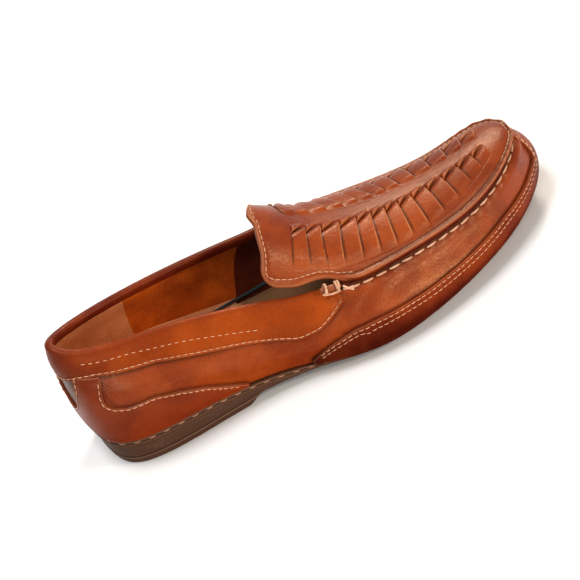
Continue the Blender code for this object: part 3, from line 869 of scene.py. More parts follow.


class Surface(NodeTree):
    """Nodes of one finish, with the steps that the finishes share."""

    def __init__(self, name: str, effects: Effects, cloud_size: float = 22.0,
                 fleck_size: float = 1.4) -> None:
        """Start a material with its uneven dye.

        Args:
            name: Name of the material.
            effects: Shared shader groups.
            cloud_size: Size of the dye's clouds, in millimetres.
            fleck_size: Size of its flecks.
        """
        self.material = bpy.data.materials.new(name)
        self.material.use_nodes = True
        super().__init__(self.material.node_tree)
        self.effects = effects
        self.dye = self.node("ShaderNodeGroup", {"node_tree": effects.mottle},
                             Cloud_Size=cloud_size, Fleck_Size=fleck_size).outputs

    def feed(self, **inputs: object) -> None:
        """Set or link inputs of the material's shader."""
        self.fill(self.tree.nodes["Principled BSDF"], **inputs)

    def painted(self, value: Paint) -> bpy.types.NodeSocket:
        """Value painted on the points."""
        return self.node("ShaderNodeAttribute", {"attribute_name": value.value}).outputs["Fac"]

    def darkened(self, colour: object, amount: float, tone: Colour,
               share: float) -> bpy.types.NodeSocket:
        """Colour that sinks to a share of the tone where painted shade and darker leather are
        painted on the points.
        """
        return self.mix(self.maths("MULTIPLY", self.painted(Paint.SOOT), amount), colour,
                        tuple(part * share for part in tone))

    def bump(self, depth: float, height: object) -> None:
        """Raise a height in the normals, by a depth in millimetres."""
        self.feed(Normal=self.node("ShaderNodeBump", Strength=1.0, Distance=depth * MM,
                                   Height=height))

    def grain(self, depth: float, size: float, pebble: float, crease: float) -> None:
        """Raise the shared grain in the normals."""
        self.bump(depth, self.node("ShaderNodeGroup", {"node_tree": self.effects.grain},
                                   Pebble_Size=size, Pebble=pebble, Crease=crease))


@dataclass(frozen=True)
class Finish:
    """Name and two tones of a finish."""

    name: str
    light: Colour
    deep: Colour


@dataclass(frozen=True)
class Leather(Finish):
    """Polished or plain leather."""

    burgundy: Colour = (0.085, 0.008, 0.005)
    # Lighter tone for worn or cut edges and for painted highlights.
    edge: Colour = (0.60, 0.24, 0.10)
    roughness: float = 0.29
    shine: float = 0.40

    def build(self, effects: Effects) -> bpy.types.Material:
        """Make the material.

        Args:
            effects: Shared shader groups.

        Returns:
            The material.
        """
        nodes = Surface(self.name, effects)
        cloud, fleck, rub = nodes.dye
        colour = nodes.mix(nodes.weigh((cloud, 0.7), (fleck, 0.3)), self.light, self.deep)
        # Burgundy dye from the points, which also carries painted shade on the apron's ridge wall
        # and low on the wrap.
        uneven = nodes.maths("MULTIPLY", nodes.painted(Paint.TINT),
                             nodes.ramp(cloud, 0.0, 1.0, 0.75, 1.0))
        colour = nodes.mix(uneven, colour, self.burgundy)
        # Lighter where worn or cut edges and painted highlights are painted, then darker where
        # painted shade and darker leather lie.
        wear_and_highlight = nodes.maths("MULTIPLY", nodes.painted(Paint.EDGE), 0.8)
        colour = nodes.darkened(nodes.mix(wear_and_highlight, colour, self.edge), 0.85, self.deep, 0.22)
        rough = nodes.ramp(rub, 0.0, 1.0, self.roughness, self.roughness + 0.12)
        nodes.grain(0.12, 0.9, 0.35, 0.35)
        # Gloss fades on faces turned downwards, so the undersides lose the floor's reflection:
        # painted shade on the undersides.
        facing = nodes.node("ShaderNodeSeparateXYZ",
                            i0=nodes.node("ShaderNodeNewGeometry").outputs["Normal"])
        gloss = nodes.ramp(facing.outputs[2], -0.25, 0.55, 0.02 * self.shine, self.shine)
        # stays where the link below isn't read
        nodes.feed(Specular_IOR_Level=self.shine)  # the shader's own value; the link below overrides it
        nodes.feed(Base_Color=colour, Roughness=nodes.weigh((rough, 1.0), (fleck, 0.08)),
                   Specular_IOR_Level=gloss, Specular_Tint=(1.0, 0.70, 0.45, 1.0))
        return nodes.material


@dataclass(frozen=True)
class Rubber(Finish):
    """Moulded sole rubber with a fine matt grain, darkened with painted shade in its grooves and
    gaps.
    """

    roughness: float = 0.6

    def build(self, effects: Effects) -> bpy.types.Material:
        """Make the material from the shared shader groups.

        Args:
            effects: Shared shader groups.

        Returns:
            The material.
        """
        nodes = Surface(self.name, effects, 30.0, 0.8)
        cloud, fleck, rub = nodes.dye
        base = nodes.mix(nodes.maths("MULTIPLY", fleck, 0.45), self.deep, self.light)
        # Lighter on rubbed spots and on the lighter edge rings.
        wear_and_highlight = nodes.maths("MAXIMUM", nodes.maths("MULTIPLY", rub, 0.35),
                           nodes.painted(Paint.EDGE))
        colour = nodes.mix(wear_and_highlight, base, tuple(1.6 * part + 0.04 for part in self.light))
        nodes.grain(0.1, 0.6, 0.8, 0.1)
        # Darkened where painted shade lies in the grooves and gaps.
        nodes.feed(Base_Color=nodes.darkened(colour, 1.0, self.deep, 0.25),
                   Roughness=nodes.ramp(cloud, 0.0, 1.0, self.roughness - 0.08,
                                        self.roughness + 0.1), Specular_IOR_Level=0.15)
        return nodes.material


@dataclass(frozen=True)
class Suede(Finish):
    """Brushed lining: short nap, no gloss."""

    def build(self, effects: Effects) -> bpy.types.Material:
        """Make the material from the shared shader groups.

        Args:
            effects: Shared shader groups.

        Returns:
            The material.
        """
        nodes = Surface(self.name, effects, 12.0, 0.7)
        cloud, fleck, _ = nodes.dye
        colour = nodes.mix(nodes.weigh((cloud, 0.5), (fleck, 0.5)), self.light, self.deep)
        nodes.bump(0.12, fleck)
        # Darkened where painted shade lies on the points.
        nodes.feed(Base_Color=nodes.darkened(colour, 0.9, self.deep, 0.14), Roughness=0.9,
                   Specular_IOR_Level=0.1)
        return nodes.material


@dataclass(frozen=True)
class Thread(Finish):
    """Waxed thread: pale, twisted, a little glossy."""

    def build(self, effects: Effects) -> bpy.types.Material:
        """Make the material from the shared shader groups.

        Args:
            effects: Shared shader groups.

        Returns:
            The material.
        """
        nodes = Surface(self.name, effects, 6.0, 0.35)
        cloud, fleck, _ = nodes.dye
        nodes.bump(0.08, fleck)
        nodes.feed(Base_Color=nodes.mix(nodes.weigh((cloud, 0.6), (fleck, 0.4)), self.light,
                                        self.deep), Roughness=0.55)
        return nodes.material


COGNAC = Leather("cognac_leather", (0.30, 0.048, 0.006), (0.175, 0.021, 0.003))
WOVEN = Leather("woven_leather", (0.29, 0.048, 0.007), (0.16, 0.021, 0.004))
# The wrap's burgundy tone is near black: its painted shade low on the sides sinks towards it.
WRAP = Leather("wrap_leather", (0.235, 0.034, 0.005), (0.13, 0.014, 0.003), (0.035, 0.003, 0.002),
               shine=0.10)
BAND = Leather("band_leather", (0.32, 0.052, 0.005), (0.205, 0.028, 0.003), shine=0.18)
COUNTER = Leather("counter_leather", (0.215, 0.028, 0.003), (0.125, 0.013, 0.002))
TAB_LEATHER = Leather("tab_leather", (0.19, 0.030, 0.009), (0.10, 0.014, 0.006))
# The footbed suede is set lighter, and the sock's edge lighter still, as painted light for places
# deep in the shoe that little light reaches.
FOOTBED = Suede("footbed_leather", (0.78, 0.37, 0.17), (0.58, 0.25, 0.105))
SOCK_EDGE_PAINTED_LIGHT = Suede("sock_edge_painted_light", (1.0, 0.58, 0.30), (0.85, 0.43, 0.20))
HEEL_LINING = Suede("heel_lining", (0.74, 0.31, 0.125), (0.54, 0.20, 0.075))
QUARTER_LINING = Suede("quarter_lining", (0.66, 0.14, 0.010), (0.32, 0.050, 0.006))
TAPE = Suede("lining_tape", (0.060, 0.085, 0.090), (0.040, 0.055, 0.060))
VAMP_LINING = Suede("vamp_lining", (0.14, 0.022, 0.007), (0.070, 0.011, 0.005))
MIDSOLE_RUBBER = Rubber("midsole_rubber", (0.110, 0.045, 0.021), (0.070, 0.027, 0.011))
OUTSOLE_RUBBER = Rubber("outsole_rubber", (0.090, 0.037, 0.017), (0.058, 0.022, 0.009))
THREAD = Thread("cream_thread", (0.68, 0.40, 0.26), (0.50, 0.25, 0.14))
FINE_THREAD = Thread("fine_thread", (0.70, 0.40, 0.24), (0.48, 0.22, 0.11))


def upright(q: Array, level: Array) -> Array:
    """Stations moved so that the front edge of the heel counter's strap stands upright.

    Args:
        q: Stations.
        level: Levels on the wall.

    Returns:
        The moved stations.
    """
    signed = (q + TOE) % STATION_COUNT - TOE
    lean = 0.41 * (np.clip(level, 1.05, 1.7) - 1.43) * bell(np.abs(signed) - 1.17, 0.16)
    return q + np.sign(signed) * lean


def counter_level(q: Array) -> Array:
    """Upper edge of the heel counter."""
    return read_edge(COUNTER_TOP, station_distance(q), 0.015) - 0.02


def station_distance(q: Array) -> Array:
    """Stations from the heel back, the shorter way round."""
    q = np.asarray(q, float) % STATION_COUNT
    return np.minimum(q, STATION_COUNT - q)


def wrap_level(q: Array) -> Array:
    """Upper edge of the wrap; it climbs to the apron seam across the toe.

    Args:
        q: Stations.

    Returns:
        Its level at each station.
    """
    along = station_distance(q)
    climb = np.where(np.asarray(q) > TOE, smooth_step(along, *WRAP_RISE_OUTER),
                     smooth_step(along, *WRAP_RISE_INNER))
    return read_edge(WRAP_TOP, along) * (1 - climb) + WRAP_TOE * climb


@dataclass(frozen=True)
class Crease:
    """Soft trough in the leather between two places (station, level) on the wall."""

    start: tuple[float, float]
    end: tuple[float, float]
    depth: float
    width: float


def crease_relief(last: Last, points: Array, creases: Sequence[Crease]) -> Array:
    """Sum of troughs, each with a low ridge beside it.

    Args:
        last: Form of the shoe.
        points: Points of the piece.
        creases: Its troughs.

    Returns:
        Height to add at each point.
    """
    part = np.linspace(0, 1, 14)
    relief = np.zeros(points.shape[:-1])
    for crease in creases:
        q, level = (start + (end - start) * part
                    for start, end in zip(crease.start, crease.end))
        line = last.wall(q, level + 0.06 * np.sin(np.pi * part))
        gap = np.linalg.norm(points[..., None, :] - line, axis=-1)
        ridge = 0.35 * bell(gap.min(-1) - 2.1 * crease.width, crease.width)
        fade = np.sin(np.pi * (gap.argmin(-1) + 0.5) / len(part))
        relief += crease.depth * fade * (ridge - bell(gap.min(-1), crease.width))
    return relief


def gap_to_line(points: Array, line: Array) -> Array:
    """Distance from every point to the nearest point of a dense line.

    Args:
        points: Points of the piece.
        line: Points of the line.

    Returns:
        Distances in the layout of the points.
    """
    flat = points.reshape(-1, 3)
    gaps = [np.linalg.norm(part[:, None] - line, axis=-1).min(axis=1)
            for part in np.array_split(flat, max(1, len(flat) // 2000))]
    return np.concatenate(gaps).reshape(points.shape[:-1])


def heel_dye(column: Array, levels: Array) -> Array:
    """Burgundy dye round the heel and along the vamp's top.

    Args:
        column: Stations.
        levels: Levels on the wall.

    Returns:
        Dye at each point.
    """
    along = station_distance(column)
    heel = 0.75 * (1 - smooth_step(along, 0.6, 2.6)) * smooth_step(levels, 0.7, 1.35)
    return heel + 0.34 * smooth_step(along, 3.8, 4.6) * smooth_step(levels, 0.9, 1.7)


def overlay_height(rim: Array, added: Array) -> Array:
    """Height of an overlay's face from the distance to its edge and its relief."""
    return (OVERLAY_GAP * np.minimum(1, rim / 0.07) + OVERLAY * round_over(rim, 0.9)
            + added * smooth_step(rim, 0, 1.6))


def cut_edge_dark(rim: Array) -> Array:
    """Darker leather along a cut edge."""
    return 0.55 * (1 - smooth_step(rim, 0.05, 0.35))


@dataclass
class Panel:
    """Leather overlay on the wall between two levels, with a rounded cut edge."""

    name: str
    last: Last
    start: float
    end: float
    low: Callable[[Array], Array]
    high: Callable[[Array], Array]
    pitch: float = 1.3
    rungs: int = 16
    bend: Callable[[Array, Array], Array] = lambda q, level: q + 0 * level

    def stations(self) -> Array:
        """Stations of the columns, crowded at both ends.

        Returns:
            The stations in rising order.
        """
        first, final = self.last.girth(self.start), self.last.girth(self.end)
        count = int((final - first - 2 * EDGE_STEPS[-1]) / self.pitch)
        return self.last.station(crowd_ends(first, final, count + 1))

    def ladder(self, q: Array) -> tuple[Array, Array, Array]:
        """Levels of the points of each column, crowded at both edges.

        Args:
            q: Stations of the columns.

        Returns:
            Levels, distance from the lower edge and distance from the upper edge.
        """
        fine = np.linspace(0, 1, 49)
        levels = self.low(q)[:, None] * (1 - fine) + self.high(q)[:, None] * fine
        walked = np.array([walk(line) for line in self.last.wall(q[:, None], levels)])
        total = walked[:, -1:]
        near = EDGE_STEPS * np.minimum(1, total / (2.2 * EDGE_STEPS[-1]))
        middle = np.linspace(0, 1, self.rungs + 2)[1:-1]
        places = np.concatenate([near, near[:, -1:] + middle * (total - 2 * near[:, -1:]),
                                 total - near[:, ::-1]], axis=1)
        found = np.array([np.interp(*column) for column in zip(places, walked, levels)])
        return found, places, total - places

    def build(self, leather: bpy.types.Material,
              relief: Callable[[Array, Array, Array, Array, Array], Array],
              tint: Callable[[Array, Array], Array]) -> bpy.types.Object:
        """Make the panel.

        Args:
            leather: Its material.
            relief: Height to add from stations, levels, distances from the two edges and
                points.
            tint: Burgundy dye from stations and levels, with painted shade where a panel is given
                it.

        Returns:
            The object.
        """
        q = self.stations()
        levels, from_low, from_high = self.ladder(q)
        length = self.last.girth(q)
        end_gap = np.minimum(length - length[0], length[-1] - length)[:, None]
        column = self.bend(np.broadcast_to(q[:, None], levels.shape), levels)
        base, out = self.last.face(column, levels)
        dense = self.last.station(np.arange(length[0], length[-1], 0.35))
        line = self.last.wall(self.bend(dense, self.high(dense)), self.high(dense))
        from_high = np.minimum(from_high, gap_to_line(base, line))
        from_high[:, -1] = 0
        rim = np.minimum(np.minimum(from_low, from_high), end_gap)
        height = overlay_height(rim, relief(column, levels, from_low, from_high, base))
        # Paint: the dye (with painted shade on the wrap), a lighter cut edge, and darker leather
        # right at the edge.
        paint = {"tint": tint(column, levels), "edge": 0.16 * bell(rim - 0.5, 0.4),
                 "soot": cut_edge_dark(rim)}
        skin = Skin()
        skin.shell(skin.add(base + out * height[..., None], **paint),
                   skin.add(base + out * BACK_GAP, **paint), closed=False)
        return skin.object(self.name, leather)


@dataclass
class Upper:
    """Vamp and quarters as one hollow wall, with its linings."""

    last: Last
    pitch: float = 1.15
    heel_lining_end: float = 2.0
    quarter_lining_end: float = 2.96
    strip_row: float = 9 / 13
    creases: tuple[Crease, ...] = (
        Crease((13.4, 1.0), (12.75, 1.15), 0.55, 2.0),
        Crease((13.1, 0.8), (12.5, 0.95), 0.45, 2.2),
        Crease((12.5, 1.1), (12.0, 1.75), 0.6, 2.6),
        Crease((12.1, 1.25), (11.55, 1.8), 0.5, 2.8),
        Crease((11.6, 1.4), (11.0, 1.8), 0.5, 3.0),
        Crease((10.7, 1.4), (10.1, 1.75), 0.35, 2.8),
        Crease((14.3, 1.1), (13.8, 1.4), 0.4, 2.4),
        Crease((2.5, 0.95), (3.3, 1.15), 0.55, 2.2),
        Crease((3.6, 1.15), (4.2, 1.75), 0.55, 2.6),
        Crease((4.5, 1.3), (5.1, 1.8), 0.45, 2.8),
    )

    def relief(self, q: Array, level: Array, points: Array, drop: Array) -> Array:
        """Puffs, puckers and creases of the outer face.

        Args:
            q: Stations.
            level: Levels.
            points: Points of the face.
            drop: Their distance from the apron's seam.

        Returns:
            Height to add at each point.
        """
        along = station_distance(q)
        centre = (read_edge(COUNTER_TOP, along) + read_edge(BAND_LOW, along)) / 2
        puff = 1.2 * smooth_step(along, 1.2, 1.6) * (1 - smooth_step(along, 3.2, 3.8))
        puff *= bell(level - centre, 0.16)
        wave = np.cos(2 * np.pi * (self.last.girth(q) - SEAM_START) / SEAM_PITCH)
        pucker = 0.22 * wave * bell(drop - SEAM_DROP, 3.0)
        roll = 0.7 * bell(drop - 5.5, 3.2) - 0.45 * bell(drop - SEAM_DROP, 1.4)
        toe = 0.9 * smooth_step(along, 6.7, 7.4) * bell(drop - 5.0, 3.6)
        return (puff + (pucker + roll) * smooth_step(along, 4.05, 4.4) + toe
                + crease_relief(self.last, points, self.creases))

    def soot(self, q: Array, level: Array, drop: Array) -> Array:
        """Painted shade in the seam and beside the edges of the overlays, and the darker leather
        of the heel's back window.

        Args:
            q: Stations.
            level: Levels.
            drop: Distance from the apron's seam.

        Returns:
            Painted shade and darker leather at each point.
        """
        along = station_distance(q)
        # Painted shade in the groove of the moccasin seam.
        dark = 0.95 * smooth_step(along, 4.0, 4.2) * bell(np.maximum(drop - 0.3, 0), 1.0)
        # Painted shadow beside the edges of the band, the wrap and the counter.
        for edge, start, end in ((read_edge(BAND_LOW, along), 0, 3.9),
                                 (wrap_level(q), WRAP_TOP[0][0], TOE + 1),
                                 (counter_level(q), 0, 2.6)):
            step = self.last.wall(q, edge) - self.last.wall(q, edge - 0.1)
            gap = 10 * np.abs(level - edge) * np.linalg.norm(step, axis=-1)
            dark = np.maximum(dark, 0.7 * bell(gap, 1.5) * (along >= start) * (along <= end))
        # Darker leather in the heel's back window.
        window = (1 - smooth_step(along, 0.62, 0.7)) * smooth_step(level, 0.8, 1.0)
        return np.maximum(dark, 0.75 * window)

    def build(self, leather: bpy.types.Material, linings: Sequence[bpy.types.Material]) -> None:
        """Make the wall, the lining under the apron and the tapes.

        Args:
            leather: Outer leather.
            linings: Heel, quarter and vamp linings, edge of the sock (lightened as painted light),
                tape and sock.
        """
        last = self.last
        q = last.station(np.arange(0, last.walked[-1], self.pitch))
        level = np.concatenate([np.linspace(-1, 0, 5)[:-1], np.linspace(0, 1, 14)[:-1],
                                np.linspace(1, 1.9, 26)[:-1], np.linspace(1.9, 1.975, 6)])
        straight, even = np.broadcast_arrays(q[:, None], level[None])
        column, rows = self.follow_linings(straight, even)
        points, out = last.face(column, rows)
        drop = np.linalg.norm(last.wall(column, SEAM_LEVEL) - points, axis=-1)
        raised = self.relief(column, rows, points, drop) * smooth_step(rows, 0.3, 0.9)
        skin = Skin()
        outer = skin.add(points + out * raised[..., None], tint=heel_dye(column, rows),
                         soot=self.soot(column, rows, drop))
        outer = np.concatenate([outer, self.add_seam_lip(skin, q, points, out)], axis=1)
        along = station_distance(straight)
        # Painted shade on the lining inside: higher up from the quarters forward, and darkest just
        # under the collar's top.
        shade = 0.5 * smooth_step(rows, 0.8, 1.6) * smooth_step(along, 2.0, 2.5)
        inner = skin.add(points - out * WALL,
                         soot=np.maximum(shade, 0.7 * smooth_step(rows, 1.82, 1.95)))
        inner = np.concatenate([inner, inner[:, -1:], inner[:, -1:]], axis=1)
        middle = (along[:, :-1] + np.roll(along, -1, axis=0)[:, :-1]) / 2
        middle = np.concatenate([middle, middle[:, -1:], middle[:, -1:]], axis=1)
        height = np.concatenate([even[:, 1:], even[:, -2:]], axis=1)
        regions = 1 + (middle > self.heel_lining_end) + (middle > self.quarter_lining_end)
        # Low on the quarter lining lies the sock's edge, in its lightened suede: painted light.
        regions = np.where((height < self.strip_row + 0.01) & (regions == 2), 4, regions)
        skin.shell(outer, inner, closed=True, inner_slot=regions.astype(int))
        settle(skin.object("upper_wall", leather, *linings), "vamp_leather", "upper")
        self.build_vamp_lining(linings[2])
        for side in Side:
            self.build_tape(side, linings[4])

    def follow_linings(self, q: Array, level: Array) -> tuple[Array, Array]:
        """Stations and levels moved so that the mesh runs along the linings' edges.

        Args:
            q: Stations.
            level: Levels on the wall.

        Returns:
            The moved stations and levels.
        """
        signed = (q + TOE) % STATION_COUNT - TOE
        along = np.abs(signed)
        lean = 0.19 * (np.clip(level, 0.6, 1.8) - 0.6) * bell(along - self.quarter_lining_end, 0.5)
        strip = 0.80 - 0.33 * (along - 2.15) - self.strip_row
        near = np.clip(level / self.strip_row, 0, 1) * np.clip((1.3 - level) / 0.6, 0, 1)
        fade = smooth_step(along, 1.7, 2.0) * (1 - smooth_step(along, 3.0, 3.4))
        return q + np.sign(signed) * lean, level + strip * near * fade

    def build_tape(self, side: Side, cloth: bpy.types.Material) -> None:
        """Grey-green tape that binds the sock lining's edge at the waist.

        Args:
            side: Side of the shoe.
            cloth: Its cloth.
        """
        q = side.value * np.linspace(2.6, 3.55, 50)[:, None]
        level = np.linspace(-0.045, 0.045, 5) + read_table(TAPE_MIDDLE, np.abs(q))
        face, out = self.last.face(np.broadcast_to(q, level.shape), level)
        skin = Skin()
        skin.shell(skin.add(face - out * (WALL + 0.45)), skin.add(face - out * (WALL - 0.1)),
                   closed=False)
        settle(skin.object(f"{side.name.lower()}_lining_tape", cloth), "footbed")

    def add_seam_lip(self, skin: Skin, q: Array, points: Array, out: Array) -> Array:
        """Two rows that carry the vamp's top edge to the side of the apron.

        Args:
            skin: Skin that takes the rows.
            q: Stations of the columns.
            points: Points of the outer face.
            out: Their normals.

        Returns:
            Indices of the rows.
        """
        last = self.last
        along = station_distance(q)
        share = np.clip(along / TAB - 1, 0, TOE_SHARE)
        apron = Apron(last)
        drawn = np.where(q > TOE, apron.tuck(share) / last.half_width(share), 0)
        across = (apron.edge_across(share) - drawn) * np.where(q > TOE, 1.0, -1.0)
        face, up = last.apron(share, across)
        top = points[:, -1]
        near_toe = smooth_step(along, 7.3, 7.6)[:, None]
        target = (face + 0.9 * up) * (1 - near_toe) + (top - 1.6 * out[:, -1]
                                                       + 0.9 * UP) * near_toe
        weight = smooth_step(along, TAB, TAB + 0.15)[:, None]
        end = top * (1 - weight) + target * weight
        # The lip is painted fully dark: painted shade in the gap between the vamp and the apron.
        return skin.add(np.stack([(top + end) / 2, end], axis=1), soot=1.0)

    def build_vamp_lining(self, lining: bpy.types.Material) -> None:
        """Lining that closes the forefoot under the apron.

        Args:
            lining: Its lining.
        """
        base, up = self.last.apron(np.linspace(0.0, 0.985, 90)[:, None], np.linspace(-1, 1, 60))
        skin = Skin()
        # Painted shade on the lining under the apron.
        skin.shell(skin.add(base + up * 0.2, soot=0.4), skin.add(base - up * WALL, soot=0.3),
                   closed=False)
        settle(skin.object("vamp_lining", lining), "vamp_leather", "upper")


@dataclass
class Collar:
    """Padded band round the collar, rolled over its top edge to the inside."""

    last: Last
    reach: float = 3.9
    roll: float = 2.3
    pitch: float = 1.2
    row_gap: float = 1.6
    lift: float = 2.2
    drops: tuple[float, ...] = (0.6, 1.1, 1.6, 2.1, 2.6, 2.9, 3.15, 3.3)
    widths: tuple[float, ...] = (2.1, 2.1, 2.1, 2.05, 2.0, 1.9, 1.65, 1.0)

    def low(self, q: Array) -> Array:
        """Level of the band's lower edge."""
        return read_edge(BAND_LOW, station_distance(q))

    def build(self, leather: bpy.types.Material) -> None:
        """Make the band.

        Args:
            leather: Its leather.
        """
        last = self.last
        first, final = last.girth(-self.reach), last.girth(self.reach)
        length = crowd_ends(first, final, int((final - first) / self.pitch))
        q = last.station(length)
        panel = Panel("collar", last, -self.reach, self.reach, self.low,
                      lambda at: np.full(np.shape(at), BAND_TOP), rungs=20)
        levels, from_low, from_high = panel.ladder(q)
        column = np.broadcast_to(q[:, None], levels.shape)
        base, out = last.face(column, levels)
        end_gap = np.minimum(length - length[0], length[-1] - length)[:, None]
        rim = np.minimum(from_low, end_gap)
        tall = from_low + from_high
        pad = 0.9 * np.sin(np.pi * np.clip((from_low - 2.2) / (tall - 3), 0, 1))
        channel = 0.3 * bell(from_low - self.row_gap, 0.7)
        height = overlay_height(rim, pad * smooth_step(tall, 7, 12) - channel)
        top, side = last.face(q, np.full(len(q), BAND_TOP))
        rise = unit(top - last.wall(q, 1.9))
        centre = top - side * (WALL / 2)
        centre = centre + rise * self.lift * smooth_step(station_distance(q), 3.2, 3.8)[:, None]
        reach = height[:, -1:] + WALL / 2
        full = self.roll * (0.4 + 0.6 * np.minimum(1, end_gap))
        turns = np.linspace(0, np.pi, 12)[1:]
        face = [centre + side * np.cos(t) * (reach * (1 + np.cos(t)) + 2.1 * (1 - np.cos(t))) / 2
                + rise * np.sin(t) * full for t in turns]
        face += [centre - side * width - rise * drop
                 for drop, width in zip(self.drops, self.widths)]
        back = [centre + side * 0.4 * np.cos(t) + rise * np.sin(t) * 0.6 for t in turns]
        back += [centre - side * 0.6 - rise * drop for drop in self.drops]
        outer = np.concatenate([base + out * height[..., None], np.stack(face, axis=1)], axis=1)
        inner = np.concatenate([base + out * BACK_GAP, np.stack(back, axis=1)], axis=1)
        wide = levels.shape[1]
        dye, soot, edge = np.zeros((3, *outer.shape[:2]))
        dye[:, :wide] = 0.9 * heel_dye(column, levels + 0.1)
        # The roll's inside is darker on the inner side than round the rest of the collar.
        far = np.where((q > 0.4) & (q < TAB), 0.85, 0.3)
        heel = 0.7 * (1 - smooth_step(station_distance(q), 0.8, 2))
        dye[:, wide:] = np.maximum(far, heel)[:, None]
        soot[:, :wide] = cut_edge_dark(rim)
        # Painted shade at the foot of the inside flap, where it meets the lining.
        soot[:, -4:] = 0.95
        edge[:, :wide] = 0.14 * bell(rim - 0.5, 0.4)
        skin = Skin()
        skin.shell(skin.add(outer, tint=dye, soot=soot, edge=edge),
                   skin.add(inner, tint=dye, soot=soot), closed=False)
        settle(skin.object("collar_roll", leather), "collar_leather", "collar_band")


@dataclass
class Overlays:
    """Heel counter and the guard that wraps round the toe."""

    last: Last
    counter_reach: float = 2.6
    row_gap: float = 1.7
    second_gap: float = 4.4
    creases: tuple[Crease, ...] = (
        Crease((11.9, 0.75), (11.5, 1.1), 0.35, 2.0),
        Crease((11.2, 0.7), (10.9, 1.1), 0.3, 2.0),
        Crease((4.5, 0.7), (4.9, 1.1), 0.35, 2.0),
    )

    def counter_relief(self, _q: Array, _level: Array, _low: Array, high: Array,
                       _points: Array) -> Array:
        """Channel under the stitch row and a slight belly."""
        return -0.25 * bell(high - self.row_gap, 0.7) + 0.35 * smooth_step(high, 3, 9)

    def wrap_relief(self, _q: Array, _level: Array, _low: Array, high: Array,
                    points: Array) -> Array:
        """Two stitch channels with a soft welt between, and creases at the ball.

        Args:
            _q: Stations, not used.
            _level: Levels, not used.
            _low: Distances from the lower edge, not used.
            high: Distances from the upper edge.
            points: Points of the piece.

        Returns:
            Height to add at each point.
        """
        rows = -0.28 * bell(high - self.row_gap, 0.6) - 0.28 * bell(high - self.second_gap, 0.6)
        return (rows + 0.3 * smooth_step(high, 5, 11)
                + crease_relief(self.last, points, self.creases))

    def wrap_dye_and_shade(self, q: Array, level: Array) -> Array:
        """Painted shade low on the sides, where the wrap turns under, and darker beside the toe.

        Args:
            q: Stations.
            level: Levels on the wall.

        Returns:
            Dye and painted shade at each point.
        """
        along = station_distance(q)
        # Painted shade on the low part of the sides, where the wrap turns under.
        low = 0.9 * (1 - smooth_step(level, 0.55, 1.15))
        toe = 0.35 * smooth_step(along, 6.2, 7.2) * (1 - smooth_step(along, 7.4, 7.9))
        return np.clip(low + toe, 0, 1)

    def build(self, counter: bpy.types.Material, guard: bpy.types.Material) -> None:
        """Make both overlays.

        Args:
            counter: Leather of the counter.
            guard: Leather of the guard.
        """
        def foot(q: Array) -> Array:
            """Level of their lower edge."""
            return np.full(np.shape(q), OVERLAY_FOOT)

        heel = Panel("counter_panel", self.last, -self.counter_reach, self.counter_reach, foot,
                     counter_level, pitch=0.9, rungs=18, bend=upright)
        settle(heel.build(counter, self.counter_relief,
                          lambda q, level: 0.4 * heel_dye(q, level)),
               "counter_leather", "heel_counter")
        start = WRAP_TOP[0][0]
        toe = Panel("toe_guard", self.last, start, STATION_COUNT - start, foot, wrap_level,
                    rungs=22)
        settle(toe.build(guard, self.wrap_relief, self.wrap_dye_and_shade), "wrap_leather", "wrap")


